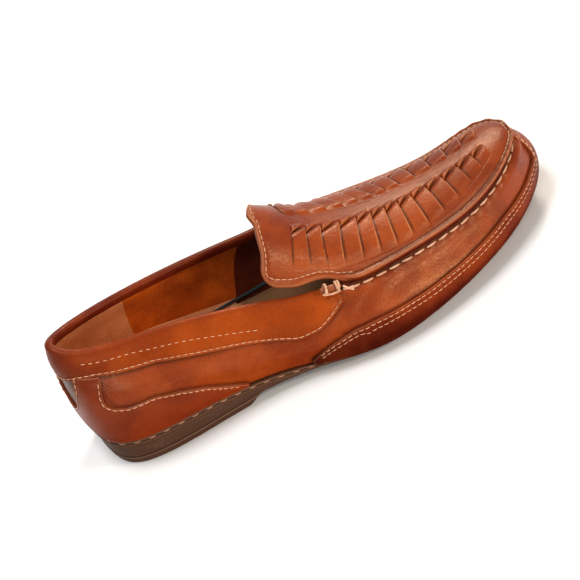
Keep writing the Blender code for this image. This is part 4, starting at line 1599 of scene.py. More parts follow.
@dataclass
class Apron:
    """Woven apron with its free tongue."""

    last: Last
    crest: float = 1.7
    crest_place: float = 1.5
    border_row: float = 3.3
    tongue_row: float = 2.4
    tongue_length: float = 32.0
    floor: float = APRON_TOP - STRIP_DEPTH

    def tuck(self, share: Array) -> Array:
        """How far the outer edge draws in where the tongue rises from the tab."""
        return 2.7 * smooth_step(share, -0.2, -0.05) * (1 - smooth_step(share, -0.04, 0.07))

    def swing(self, share: Array, across: Array) -> Array:
        """How far the tongue's back edge is cut forward between its corners."""
        cut = smooth_step(across, -0.35, 0.05) * (1 - smooth_step(across, 0.5, 1.0))
        return 0.032 * cut * (1 - smooth_step(share, TONGUE_SHARE, TONGUE_SHARE + 0.13))

    def border(self, share: Array) -> Array:
        """Distance of the fine row from the edge, less on the tongue."""
        return self.tongue_row + (self.border_row - self.tongue_row) * smooth_step(
            share, -0.05, 0.03)

    def edge_across(self, share: Array) -> Array:
        """How far out the apron's edge lies, with the tongue's round corners.

        Args:
            share: Shares along the apron.

        Returns:
            Its place across at each share.
        """
        width = self.last.half_width(share)
        walked = (1 - share / TONGUE_SHARE) * self.tongue_length / TONGUE_CORNER
        run = np.clip(1 - walked, 0, 1)
        rounded = TONGUE_CORNER * (1 - np.sqrt(np.clip(1 - run * run, 0, 1)))
        return 1 - (APRON_INSET + rounded) / width

    def place(self, slit: Array, across: Array) -> Array:
        """Share at a slit number and across.

        Args:
            slit: Numbers of the slits.
            across: Places across, from -1 to 1.

        Returns:
            The shares.
        """
        at_spine, at_edge = slit_at_spine(slit), slit_at_edge(slit)
        reach = slit_reach(slit) - SPINE_HALF
        sideways = np.clip((np.abs(across) - SPINE_HALF) / np.maximum(reach, 0.1), 0, 1)
        return at_spine + (at_edge - at_spine) * sideways

    def ends(self, slit: Array, part: Array, side: Side) -> tuple[Array, Array]:
        """Places across of a strip's two ends.

        Args:
            slit: Slit numbers across the strip.
            part: Parts of its width, from the heel side.
            side: Column of the strip.

        Returns:
            Free end and root.
        """
        if side is Side.INNER:
            return DIAGONAL * (1 - part) - slit_reach(slit), np.full(len(part), SPINE_INNER)
        return SPINE_OUTER_BACK * (1 - part) + SPINE_OUTER_FRONT * part, slit_reach(slit)

    def build_base(self, leather: bpy.types.Material, lining: bpy.types.Material) -> None:
        """Sheet of the apron: border, tongue and spine round the sunk beds of the weave.

        Args:
            leather: Its leather.
            lining: Its lining.
        """
        last = self.last
        share = np.concatenate([TONGUE_SHARE + np.array([0, 0.001, 0.003, 0.007, 0.013]),
                                np.linspace(TONGUE_SHARE + 0.02, TOE_SHARE - 0.04, 220),
                                TOE_SHARE - np.array([0.035, 0.03, 0.026, 0.022, 0.018, 0.0145,
                                                      0.011, 0.008, 0.005, 0.0025, 0.001, 0])])
        half = last.half_width(share)
        near = np.array([0, 0.1, 0.3, 0.6, 0.9, 1.25, 1.6, 2.0, 2.5, 3.1, 3.8, 4.6])
        edge = self.edge_across(share)
        outer = edge - self.tuck(share) / half
        rows = []
        for width, left, right in zip(half, edge, outer):
            margin = near / width
            core = np.linspace(margin[-1] - left, right - margin[-1], 76)
            rows.append(np.concatenate([-left + margin[:-1], core, right - margin[-2::-1]]))
        across = np.array(rows)
        column = np.broadcast_to(share[:, None], across.shape)
        from_side = np.minimum(edge[:, None] + across, outer[:, None] - across) * half[:, None]
        from_ends = np.minimum(column - TONGUE_SHARE, TOE_SHARE - column) * APRON_LENGTH
        rim = np.minimum(from_side, from_ends)
        on_foot = smooth_step(column, -0.02, 0.04)
        base, up = last.apron(column + self.swing(column, across), across)
        crest = self.crest * bell(rim - self.crest_place, 1.0) * on_foot
        crest *= 1 - 0.28 * self.pleats(base, column)
        bead = crest + 0.5 * bell(rim - 1.0, 1.0) * (1 - on_foot)
        channel = 0.5 * bell(rim - self.border(column), 0.9)
        bed = self.bed_depth(column, across)
        height = APRON_GAP + APRON * round_over(rim, 1.4) + bead - channel - bed
        wall = on_foot * (1 - smooth_step(rim, 0.7, 1.5))
        # Burgundy dye over the apron; the ridge's outer wall gets more of it as painted shade.
        dye = np.maximum(0.25 + 0.15 * smooth_step(column, 0.2, 0.75), 0.85 * wall)
        # Painted shade: deep dark in the sunk beds, in the fine row's channel and on the ridge's
        # outer wall.
        shade = np.maximum.reduce([smooth_step(bed, 0.3, 0.9),
                                   0.75 * on_foot * bell(rim - 2.9, 0.8),
                                   0.95 * on_foot * (1 - smooth_step(rim, 0, 0.8))])
        # Painted highlight along the crest; on the tongue, the lighter cut edge.
        wear_and_highlight = np.maximum(0.45 * bell(rim - self.crest_place, 0.35) * on_foot,
                          0.5 * bell(rim - 0.5, 0.4) * (1 - on_foot))
        # The sheet's underside is painted dark as shade.
        skin = Skin()
        skin.shell(skin.add(base + up * height[..., None], tint=dye, edge=wear_and_highlight, soot=shade),
                   skin.add(base + up * (APRON_GAP / 2), tint=0.8, soot=0.5), closed=False,
                   inner_slot=1)
        settle(skin.object("apron_sheet", leather, lining), "woven_leather", "apron")

    def pleats(self, base: Array, share: Array) -> Array:
        """Folds that the thick stitches draw into the crest round the toe.

        Args:
            base: Points of the apron.
            share: Shares along the apron.

        Returns:
            Depth at each point, from 0 to 1.
        """
        turn = np.arctan2(base[..., 1], base[..., 0] - 250.0)
        fold = 0.5 + 0.5 * np.cos(2 * np.pi * 40.0 * turn / SEAM_PITCH)
        return fold * smooth_step(share, 0.5, 0.75)

    def bed_depth(self, share: Array, across: Array) -> Array:
        """Depth of the sunk bed under the strips, deepest between their ends.

        Args:
            share: Shares along the apron.
            across: Places across, from -1 to 1.

        Returns:
            Depth at each point.
        """
        number = np.linspace(0, STRIPS, 53)
        at_spine, at_edge = slit_at_spine(number), slit_at_edge(number)
        sideways = np.clip((np.abs(across) - SPINE_HALF) / 0.62, 0, 1)
        low, high = (at_spine[end] + (at_edge[end] - at_spine[end]) * sideways for end in (0, -1))
        limit = np.interp(share, at_edge, slit_reach(number))
        inner = smooth_step(across, -limit - 0.01, -limit + 0.05)
        inner *= 1 - smooth_step(across, SPINE_INNER - 0.05, SPINE_INNER + 0.01)
        spine = np.interp(share, at_spine, np.linspace(0.21, 0.2, 53))
        outer = smooth_step(across, spine - 0.06, spine)
        outer *= 1 - smooth_step(across, limit - 0.06, limit + 0.01)
        back, front = share - low, share - high
        return (BED_DEPTH * np.maximum(inner, outer) * smooth_step(back, -0.002, 0.01)
                * (1 - smooth_step(front, -0.012, 0)))

    def add_body(self, skin: Skin, share: Array, across: Array, height: Array,
                 **paint: Array) -> None:
        """Closed body from its height over the forefoot down to the bed.

        Args:
            skin: Skin that takes it.
            share: Shares of its points.
            across: Their places across.
            height: Their heights.
            paint: Values to keep for them.
        """
        base, up = self.last.apron(share, across)
        # The lower face, down at the bed, is painted dark as shade.
        skin.shell(skin.add(base + up * height[..., None], **paint),
                   skin.add(base + up * (self.floor - 0.25), soot=0.9, tint=paint["tint"]),
                   closed=False)

    def add_strip(self, skin: Skin, strip: int, side: Side) -> None:
        """One strip, rounded at its free end and toe-ward edge.

        Args:
            skin: Skin that takes the strip.
            strip: Number of the strip from the heel side.
            side: Column of the strip.
        """
        part = np.concatenate([[0, 0.02, 0.06], np.linspace(0.12, 0.86, 9),
                               [0.91, 0.945, 0.97, 0.988, 1.0]])
        slit = strip - 0.10 + part * 1.085
        depth = APRON_LENGTH * float(slit_at_spine(strip + 1) - slit_at_spine(strip))
        length = np.concatenate([[0, 0.004, 0.012, 0.025, 0.045], np.linspace(0.08, 0.92, 20),
                                 [0.955, 0.975, 0.988, 0.996, 1.0]])
        free, root = self.ends(np.clip(slit, 0, STRIPS), part, side)
        across = free[:, None] * (1 - length) + root[:, None] * length
        share = self.place(slit[:, None], across)
        width = self.last.half_width(share)
        run = np.abs(across - free[:, None]) * width
        back = np.abs(root[:, None] - across) * width
        from_front = (1 - part)[:, None] * depth + 0 * run
        fuller, flush_run = (1.0, 5.0) if side is Side.OUTER else (1.7, 3.0)
        rise = 0.1 + 0.95 * fuller * part[:, None]
        belly = 0.2 * fuller * np.sin(np.pi * part)[:, None] * smooth_step(run, 0, 4)
        flush = smooth_step(back, 0, flush_run)
        full = APRON_TOP + rise + belly - self.floor
        height = self.floor + full * round_over(from_front, 0.8) * round_over(run, 1.6)
        height = (APRON_TOP - 0.12) * (1 - flush) + height * flush
        height -= 0.7 * (1 - smooth_step(run, 0.5, 3.5))
        # Lighter line along the raised toe-ward edge: a burnished edge with a painted highlight.
        wear_and_highlight = 0.95 * bell(from_front - 0.40, 0.22) * smooth_step(run, 0.5, 2.5) * flush
        # Painted shadow on the heel-ward part, under the raised edge of the strip behind, and at
        # the free end.
        shade = np.maximum(0.95 * (1 - smooth_step(part, 0.1, 0.22))[:, None],
                           0.5 * bell(run, 0.6))
        self.add_body(skin, share, across, height, edge=wear_and_highlight, soot=shade * flush,
                      tint=0.4 * smooth_step(share, 0.2, 0.7))

    def add_tooth(self, skin: Skin, strip: int, side: Side) -> None:
        """Pointed end of the plain leather that laps over a strip's cut end.

        Args:
            skin: Skin that takes the tooth.
            strip: Number of the strip.
            side: Column of the strip.
        """
        part = np.concatenate([[0, 0.02, 0.06, 0.12], np.linspace(0.2, 1, 9)])
        length = np.concatenate([np.linspace(0, 0.8, 8), [0.88, 0.93, 0.965, 0.985, 1.0]])
        slit = strip + part
        free = self.ends(slit, part, side)[0]
        root = (-slit_reach(slit) - 0.03 if side is Side.INNER
                else np.full(len(part), SPINE_OUTER_FRONT - 0.05))
        spread = self.last.half_width(self.place(slit, free))
        free = np.maximum(free - (0.4 + 1.2 * part) / spread, root + 0.004)
        across = root[:, None] * (1 - length) + free[:, None] * length
        share = self.place(slit[:, None], across)
        run = (free[:, None] - across) * spread[:, None]
        ends = self.place(slit[[0, -1]], free[[0, -1]])
        side_run = part[:, None] * APRON_LENGTH * (ends[1] - ends[0])
        rounded = round_over(np.minimum(run / 0.8, side_run / 0.5), 1.0)
        lifted = 1.15 * smooth_step(length, 0.05, 0.7) * (1 - 0.6 * part[:, None])
        height = self.floor + (APRON_TOP - 0.06 + lifted - self.floor) * rounded
        # Painted highlight just inside the tooth's edge, and painted shade right on it.
        self.add_body(skin, share, across, height, edge=0.5 * bell(run - 0.55, 0.4),
                      soot=0.8 * (run < 0.05), tint=0.35 * smooth_step(share, 0.2, 0.75))

    def build(self, leather: bpy.types.Material, lining: bpy.types.Material) -> None:
        """Make the sheet, then the strips: each steps down on the next.

        Args:
            leather: Its leather.
            lining: Its lining.
        """
        self.build_base(leather, lining)
        skin = Skin()
        for strip in range(STRIPS):
            for side in Side:
                self.add_strip(skin, strip, side)
                self.add_tooth(skin, strip, side)
        settle(skin.object("woven_strips", leather), "woven_leather", "apron")


@dataclass
class Tabs:
    """Rolled leather tabs where the apron, the collar and the vamp meet."""

    last: Last
    radius: float = 1.9
    ends: tuple[float, float] = (0.03, 0.32)
    thread_radius: float = 0.62
    out_inner: float = 2.3
    out_outer: float = 3.5
    up: float = 5.9

    def build(self, leather: bpy.types.Material, thread: bpy.types.Material) -> None:
        """Make both tabs and the thread round them.

        Args:
            leather: Its leather.
            thread: Its thread.
        """
        for side, middle, beyond in ((Side.INNER, TAB, self.out_inner),
                                     (Side.OUTER, STATION_COUNT - TAB, self.out_outer)):
            q = middle - side.value * np.linspace(*self.ends, 22)
            line = self.last.at(q)[:, TOP] + self.last.outward(q) * beyond + UP * self.up
            run = unit(np.gradient(line, axis=0))
            rise = unit(np.cross(run, self.last.outward(middle)))
            out = unit(np.cross(rise, run))
            part = np.linspace(0, 1, len(line))
            radii = self.radius * (0.72 + 0.28 * np.sin(np.pi * part))
            radii *= np.sqrt(np.clip(1 - np.abs(2 * part - 1) ** 14, 0.02, 1))
            skin = Skin()
            skin.tube(line, out, rise, radii, 24, tint=0.4, edge=0.2)
            name = side.name.lower()
            settle(skin.object(f"{name}_tab", leather), "tab_leather", f"tab_{name}")
            skin = Skin()
            self.tie(skin, side, line, out, rise)
            settle(skin.object(f"{name}_tab_thread", thread), "tab_leather")

    def tie(self, skin: Skin, side: Side, line: Array, out: Array, rise: Array) -> None:
        """Thick thread wound round a tab and, on the outer side, carried to the seam.

        Args:
            skin: Skin that takes the thread.
            side: Side of the shoe.
            line: Middle line of the tab.
            out: Directions out of the shoe along it.
            rise: Upward directions along it.
        """
        turn = np.linspace(0, 2 * np.pi, 26)[:-1, None]
        reach = self.radius + 0.55
        for part, lean in ((0.2, -0.5), (0.26, 0.4), (0.74, 0.3), (0.8, -0.4)):
            at = int(part * (len(line) - 1))
            loop = reach * 1.05 * (np.cos(turn) * out[at] + 1.15 * np.sin(turn) * rise[at])
            along = unit(line[at + 1] - line[at - 1])
            self.strand(skin, line[at] + loop + lean * np.sin(turn) * along, closed=True)
        first, final = line[[2, -3]] + reach * (0.9 * out[[2, -3]] - 0.55 * rise[[2, -3]])
        self.span(skin, first, final, -0.9 * rise[len(rise) // 2])
        if side is Side.OUTER:
            away = line[0] + 6.2 * unit(line[0] - line[3])
            for start, end in ((0.9, -1.6), (-1.3, 0.6)):
                self.span(skin, line[0] + 0.75 * reach * out[0] + start * rise[0],
                          away + 0.55 * reach * out[0] + (end - 2.6) * rise[0], 0.7 * out[0])

    def span(self, skin: Skin, first: Array, final: Array, bow: Array) -> None:
        """Thread from one point to another, bowed at its middle."""
        part = np.linspace(0, 1, 18)[:, None]
        self.strand(skin, first * (1 - part) + final * part + np.sin(np.pi * part) * bow)

    def strand(self, skin: Skin, path: Array, closed: bool = False) -> None:
        """Round thread along a path, drawn to a point unless it is a loop.

        Args:
            skin: Skin that takes it.
            path: Its middle line.
            closed: Whether it is a loop.
        """
        run = unit(np.roll(path, -1, axis=0) - np.roll(path, 1, axis=0) if closed
                   else np.gradient(path, axis=0))
        across = unit(np.cross(run, UP + 0.01))
        radii = np.full(len(path), self.thread_radius)
        if not closed:
            radii[[0, -1]] *= 0.3
        skin.tube(path, across, np.cross(across, run), radii, 10, closed)


@dataclass(frozen=True)
class Ring:
    """Loop of a sole layer: inset from the widest line, and part of the way down."""

    inset: float
    down: float
    # The last two values lighten the ring and darken it with painted shade.
    edge: float = 0.0
    soot: float = 0.0


# Inset of the sole's edge by station; depth of the midsole and height of the outsole's
# underside by distance from the heel
SOLE_EDGE = ((0, 0.8), (2, 0.8), (3, 1.5), (3.5, 3.5), (4, 4.6), (8, 5.5))
MIDSOLE_DEPTH = ((0, 4.5), (60, 4.5), (110, 4), (132, 3), (158, 2.2))
OUTSOLE_BOTTOM = ((0, 5.35), (92, 5.35), (105, 4.9), (116, 4.5), (128, 3), (140, 1.4), (153, 0.2),
                  (165, 0), (232, 0), (262, 1.8), (285, 4.6), (300, 7.2))


@dataclass
class Sole:
    """Insole, midsole with its stitched groove, outsole and the top piece of the heel."""

    last: Last
    step: float = 0.7
    gap: float = 0.35
    heel_taper: float = 1.8
    tread_tuck: float = 4.0
    lift_height: float = 5.0
    lift_front: float = 88.0
    lift_slope: float = 7.0
    lift_hollow: float = 4.0
    pitch: float = 1.4

    def columns(self) -> Array:
        """Stations round the sole, alike on both sides.

        Returns:
            The stations.
        """
        half = self.last.girth(TOE)
        inner = self.last.station(np.linspace(0, half, int(half / self.pitch) + 1))
        return np.concatenate([inner, STATION_COUNT - inner[1:-1][::-1]])

    def inset(self, q: Array) -> Array:
        """How far the sole's edge lies inside the widest line."""
        return read_table(SOLE_EDGE, station_distance(q))

    def line(self, q: Array, inset: Array) -> Array:
        """Points inside the widest line by inset."""
        return self.last.at(q)[:, WIDEST] - self.last.outward(q) * np.asarray(inset)[..., None]

    def midsole_top(self, x: Array, y: Array) -> Array:
        """Height of the midsole's top."""
        return self.last.foot_height(x, y) - FOOT_GAP

    def midsole_bottom(self, x: Array, y: Array) -> Array:
        """Height of the midsole's underside."""
        return self.midsole_top(x, y) - read_table(MIDSOLE_DEPTH, x)

    def outsole_top(self, x: Array, y: Array) -> Array:
        """Height of the outsole's top."""
        return self.midsole_bottom(x, y) - self.gap

    def outsole_bottom(self, x: Array, y: Array) -> Array:
        """Height of the outsole's underside."""
        return read_table(OUTSOLE_BOTTOM, x) + 0 * y

    def insole_bottom(self, x: Array, y: Array) -> Array:
        """Height of the insole's underside."""
        return self.last.foot_height(x, y) + WALL + FOOT_GAP

    def insole_top(self, x: Array, y: Array) -> Array:
        """Height of the insole's top."""
        return self.insole_bottom(x, y) + INSOLE

    def layer(self, name: str, rings: Sequence[Ring], insets: Array, top: Callable[..., Array],
              bottom: Callable[..., Array], tuck: Array | float, material: bpy.types.Material,
              groove: Callable[[Array, Array], Array] | None = None) -> bpy.types.Object:
        """Closed layer of the sole.

        Args:
            name: Name of the piece.
            rings: Loops from the top down.
            insets: Inset of the layer's edge at each column.
            top: Height of its top.
            bottom: Height of its underside.
            tuck: How far the underside's edge lies inside the top's, for each column.
            material: Its material.
            groove: Depth of tread cut into its underside.

        Returns:
            The object.
        """
        q = self.columns()
        skin = Skin()
        loops = []
        for ring in rings:
            line = self.line(q, insets + ring.inset + tuck * ring.down)
            high, low = top(line[:, 0], line[:, 1]), bottom(line[:, 0], line[:, 1])
            line[:, 2] = high * (1 - ring.down) + low * ring.down
            loops.append(skin.add(line, edge=ring.edge, soot=ring.soot))
        band = np.stack(loops, axis=1)
        skin.sheet(np.concatenate([band, band[:1]]))
        self.cap(skin, loops[0], rings[0], top, None)
        self.cap(skin, loops[-1], rings[-1], bottom, groove)
        return skin.object(name, material)

    def cap(self, skin: Skin, loop: Array, ring: Ring, height: Callable[..., Array],
            groove: Callable[[Array, Array], Array] | None) -> None:
        """Fill a loop with rows of faces from side to side.

        Args:
            skin: Skin of the layer.
            loop: Indices of the loop.
            ring: Its ring.
            height: Height of the face that it bounds.
            groove: Depth of tread cut into that face.
        """
        points = np.concatenate(skin.points)[loop]
        half = len(loop) // 2
        part = np.linspace(0, 1, 42)
        one, other = points[1:half], points[-1:half:-1]
        middle = (one[:, None] * (1 - part[:, None]) + other[:, None] * part[:, None])[:, 1:-1]
        middle[..., 2] = height(middle[..., 0], middle[..., 1])
        soot = np.full(middle.shape[:2], ring.soot)
        if groove is not None:
            side = np.minimum(part, 1 - part)[1:-1] * np.linalg.norm(one - other, axis=-1)[:, None]
            depth = groove(middle[..., 0], middle[..., 1]) * smooth_step(side, 2.5, 5.0)
            middle[..., 2] += depth
            # Painted shade in the tread's grooves.
            soot = 0.8 * smooth_step(depth, 0.2, 0.8)
        index = skin.add(middle, soot=soot, edge=ring.edge * 0.3)
        grid = np.concatenate([loop[1:half, None], index, loop[-1:half:-1, None]], axis=1)
        first, final = (np.full((1, len(part)), loop[at]) for at in (0, half))
        skin.sheet(np.concatenate([first, grid, final]))

    def tread(self, x: Array, y: Array) -> Array:
        """Depth of the forefoot tread: waves across the sole.

        Args:
            x: Distances from the heel.
            y: Distances towards the inner side.

        Returns:
            Depth at each place.
        """
        wave = np.sin(2 * np.pi * (x + 3.0 * np.sin(2 * np.pi * y / 16)) / 6.5)
        field_part = smooth_step(x, 168, 174) * (1 - smooth_step(x, 262, 274))
        return 0.8 * smooth_step(wave, 0.25, 0.75) * field_part

    def build_insole(self, leather: bpy.types.Material) -> None:
        """Sock lining on the insole, with painted shadow under the vamp.

        Args:
            leather: Its leather.
        """
        rings = (Ring(0.6, 0.0), Ring(0.15, 0.06), Ring(0.0, 0.2), Ring(0.0, 0.6), Ring(0.3, 1.0))
        inset = self.last.at(self.columns())[:, FOOT_IN][:, 0] + 1.7
        piece = self.layer("sock_lining", rings, inset, self.insole_top, self.insole_bottom, 0.9,
                           leather)
        spots = np.empty(3 * len(piece.data.vertices), dtype=np.float32)
        piece.data.vertices.foreach_get("co", spots)
        # Painted shadow over the forefoot, where the vamp covers the insole.
        shade = 0.95 * smooth_step(spots[::3] / MM - HEEL_BACK[0], 104, 112)
        piece.data.attributes[Paint.SOOT.value].data.foreach_set("value", shade.astype(np.float32))
        settle(piece, "footbed", "insole")

    def build(self, midsole: bpy.types.Material, outsole: bpy.types.Material) -> None:
        """Make the rubber layers.

        Args:
            midsole: Rubber of the midsole.
            outsole: Rubber of the outsole.
        """
        q = self.columns()
        inset = self.inset(q)
        # Rings down the midsole; the stitched groove in the middle and the bottom edge are painted
        # dark as shade.
        rings = (Ring(0.55, 0.0), Ring(0.2, 0.03, 0.3), Ring(0.0, 0.09, 0.45),
                 Ring(-0.05, 0.2, 0.35), Ring(0.1, 0.27, 0.2), Ring(0.55, 0.31, 0, 0.5),
                 Ring(0.75, 0.38, 0, 0.8), Ring(0.6, 0.46, 0, 0.5), Ring(0.1, 0.51, 0.15),
                 Ring(-0.1, 0.6, 0.1), Ring(-0.1, 0.8), Ring(0.05, 0.92), Ring(0.5, 1.0, 0, 0.6))
        settle(self.layer("midsole_edge", rings, inset, self.midsole_top, self.midsole_bottom,
                          0.0, midsole), "midsole_rubber", "midsole")
        forefoot = np.clip((station_distance(q) - 3.2) / 0.8, 0, 1)
        tuck = self.heel_taper * (1 - forefoot) + self.tread_tuck * forefoot
        # The outsole's top edge, under the midsole, is painted dark as shade.
        rings = (Ring(0.9, 0.0, 0, 0.6), Ring(0.25, 0.03, 0, 0.3), Ring(0.0, 0.08, 0.15),
                 Ring(0.0, 0.3), Ring(0.0, 0.6), Ring(0.0, 0.86), Ring(0.1, 0.93, 0.1),
                 Ring(0.35, 0.98, 0.1), Ring(0.7, 1.0))
        settle(self.layer("outsole_unit", rings, inset + self.step, self.outsole_top,
                          self.outsole_bottom, tuck, outsole, self.tread),
               "outsole_rubber", "outsole")
        self.build_lift(outsole, q, inset + self.step + self.heel_taper)

    def build_lift(self, material: bpy.types.Material, q: Array, inset: Array) -> None:
        """Top piece of the heel, hollowed at the front, with a lighter line at its top.

        Args:
            material: Its rubber.
            q: Stations of the sole's columns.
            inset: Inset of the outsole's lower edge there.
        """
        # Profile rows: inset, height, lighter edge and painted shade, at the lift's top and where
        # it turns in under the lighter line.
        profile = ((0.6, 5.0, 0.2, 0.5), (0.15, 4.85, 0.3, 0), (-0.1, 4.5, 0.7, 0),
                   (-0.1, 4.1, 0.7, 0), (0.15, 3.8, 0.2, 0.5), (0.2, 3.0, 0, 0),
                   (0.5, 1.0, 0, 0), (0.75, 0.35, 0.1, 0), (1.2, 0.0, 0.1, 0))
        half = len(q) // 2
        number = np.arange(len(q))
        part = np.linspace(0, 1, 40)[:, None]
        skin = Skin()
        loops = []
        for extra, height, edge, soot in profile:
            line = self.line(q, inset + 0.1 + extra)
            line[:, 2] = height
            front = self.lift_front - self.lift_slope * (1 - height / self.lift_height)
            keep = line[:, 0] < front - 3
            side = np.concatenate([line[keep & (number > half)], line[keep & (number <= half)]])
            walked = walk(side)
            places = np.linspace(0, walked[-1], 150)
            side = np.stack([np.interp(places, walked, axis) for axis in side.T], -1)
            start, end = (np.array([front, side[at, 1], height]) for at in (-1, 0))
            cut = start * (1 - part) + end * part
            cut[:, 0] -= self.lift_hollow * np.sin(np.pi * part[:, 0])
            loops.append(skin.add(np.concatenate([side, cut]), edge=edge, soot=soot))
        band = np.stack(loops, axis=1)
        skin.sheet(np.concatenate([band, band[:1]]))
        for loop in (loops[0], loops[-1]):
            points = np.concatenate(skin.points)[loop]
            centre = points.mean(axis=0)
            middle = skin.add(points * 0.6 + centre * 0.4)
            hub = skin.add(centre[None])
            rows = np.stack([loop, middle, np.full(len(loop), hub[0])], axis=1)
            skin.sheet(np.concatenate([rows, rows[:1]]))
        settle(skin.object("heel_top_piece", material), "outsole_rubber", "heel_lift")


@dataclass(frozen=True)
class Row:
    """Row of stitches along a path on the leather."""

    path: Array
    up: Array
    pitch: float
    length: float
    width: float
    height: float = 0.35


class StitchTree:
    """Geometry nodes that lay stitches along a path."""

    name = "stitches"

    def __init__(self) -> None:
        """Build the tree once."""
        self.tree = bpy.data.node_groups.new(self.name, "GeometryNodeTree")
        self.ids: dict[str, str] = {}
        face = self.tree.interface
        self.socket(face, "Geometry", "NodeSocketGeometry")
        for label in ("Pitch", "Length", "Width", "Height", "Slack"):
            self.socket(face, label, "NodeSocketFloat")
        self.socket(face, "Seed", "NodeSocketInt")
        self.socket(face, "Thread", "NodeSocketMaterial")
        face.new_socket("Geometry", in_out="OUTPUT", socket_type="NodeSocketGeometry")
        self.wire()

    def socket(self, face: bpy.types.NodeTreeInterface, label: str, kind: str) -> None:
        """Add a named input."""
        self.ids[label] = face.new_socket(label, in_out="INPUT", socket_type=kind).identifier

    def wire(self) -> None:
        """Place and link the nodes."""
        nodes = NodeTree(self.tree)
        given = nodes.node("NodeGroupInput").outputs
        curve = nodes.node("GeometryNodeMeshToCurve", Mesh=given["Geometry"])
        places = nodes.node("GeometryNodeResampleCurve", {"mode": "LENGTH"},
                            Curve=curve, Length=given["Pitch"])
        tangent = nodes.node("GeometryNodeInputTangent")
        up = nodes.node("GeometryNodeInputNamedAttribute", {"data_type": "FLOAT_VECTOR"},
                        Name="up")
        turn = nodes.node("FunctionNodeAxesToRotation",
                          {"primary_axis": "Z", "secondary_axis": "X"},
                          Primary_Axis=up, Secondary_Axis=tangent)
        slack = nodes.node("ShaderNodeCombineXYZ", X=given["Slack"], Y=0.0, Z=given["Slack"])
        back = nodes.node("ShaderNodeVectorMath", {"operation": "SCALE"}, i0=slack,
                          Scale=-1.0)
        random = nodes.node("FunctionNodeRandomValue", {"data_type": "FLOAT_VECTOR"},
                            Min=back, Max=slack, Seed=given["Seed"])
        tilt = nodes.node("FunctionNodeEulerToRotation", Euler=random)
        rotation = nodes.node("FunctionNodeRotateRotation", {"rotation_space": "LOCAL"},
                              Rotation=turn, Rotate_By=tilt)
        half = nodes.maths("MULTIPLY", given["Length"], 0.5)
        start = nodes.node("ShaderNodeCombineXYZ", X=nodes.maths("MULTIPLY", half, -1.0))
        lift = nodes.maths("MULTIPLY", given["Height"], 2.6)
        middle = nodes.node("ShaderNodeCombineXYZ", Z=lift)
        end = nodes.node("ShaderNodeCombineXYZ", X=half)
        arch = nodes.node("GeometryNodeCurveQuadraticBezier", Resolution=6,
                          Start=start, Middle=middle, End=end)
        part = nodes.node("GeometryNodeSplineParameter")
        bulge = nodes.maths("SINE", nodes.maths("MULTIPLY", part, np.pi))
        radius = nodes.node("GeometryNodeSetCurveRadius", Curve=arch,
                            Radius=nodes.maths("ADD", nodes.maths("MULTIPLY", bulge, 0.35),
                                               0.65))
        ring = nodes.node("GeometryNodeCurvePrimitiveCircle", Resolution=7,
                          Radius=nodes.maths("MULTIPLY", given["Width"], 0.5))
        strand = nodes.node("GeometryNodeCurveToMesh", Curve=radius,
                            Profile_Curve=ring, Fill_Caps=True)
        if "Scale" in strand.inputs:
            nodes.tree.links.new(radius.inputs["Radius"].links[0].from_socket,
                                 strand.inputs["Scale"])
        laid = nodes.node("GeometryNodeInstanceOnPoints", Points=places,
                          Instance=strand, Rotation=rotation)
        real = nodes.node("GeometryNodeRealizeInstances", Geometry=laid)
        dressed = nodes.node("GeometryNodeSetMaterial", Geometry=real,
                             Material=given["Thread"])
        nodes.node("NodeGroupOutput", Geometry=dressed)

    def lay(self, name: str, rows: Sequence[Row], thread: bpy.types.Material) -> bpy.types.Object:
        """Stitch several rows and join them into one plain mesh.

        Args:
            name: Name of the piece.
            rows: Rows of stitches.
            thread: Their material.

        Returns:
            The object, at the origin.
        """
        work = bmesh.new()
        for number, row in enumerate(rows):
            mesh = bpy.data.meshes.new(f"{name}_path")
            points = (row.path + HEEL_BACK) * MM
            mesh.from_pydata(points.tolist(), [(i, i + 1) for i in range(len(points) - 1)], [])
            up = mesh.attributes.new("up", "FLOAT_VECTOR", "POINT")
            up.data.foreach_set("vector", row.up.astype(np.float32).ravel())
            holder = add_object(f"{name}_path", mesh)
            layer = holder.modifiers.new("stitches", "NODES")
            layer.node_group = self.tree
            sizes = {"Pitch": row.pitch * MM, "Length": row.length * MM, "Width": row.width * MM,
                     "Height": row.height * MM, "Slack": 0.09}
            for label, value in sizes.items():
                layer[self.ids[label]] = value
            layer[self.ids["Seed"]] = 11 + number
            layer[self.ids["Thread"]] = thread
            graph = bpy.context.evaluated_depsgraph_get()
            baked = bpy.data.meshes.new_from_object(holder.evaluated_get(graph))
            work.from_mesh(baked)
            bpy.data.objects.remove(holder)
            bpy.data.meshes.remove(baked)
        return finish_mesh(name, work, bpy.data.meshes.new(name), [thread])


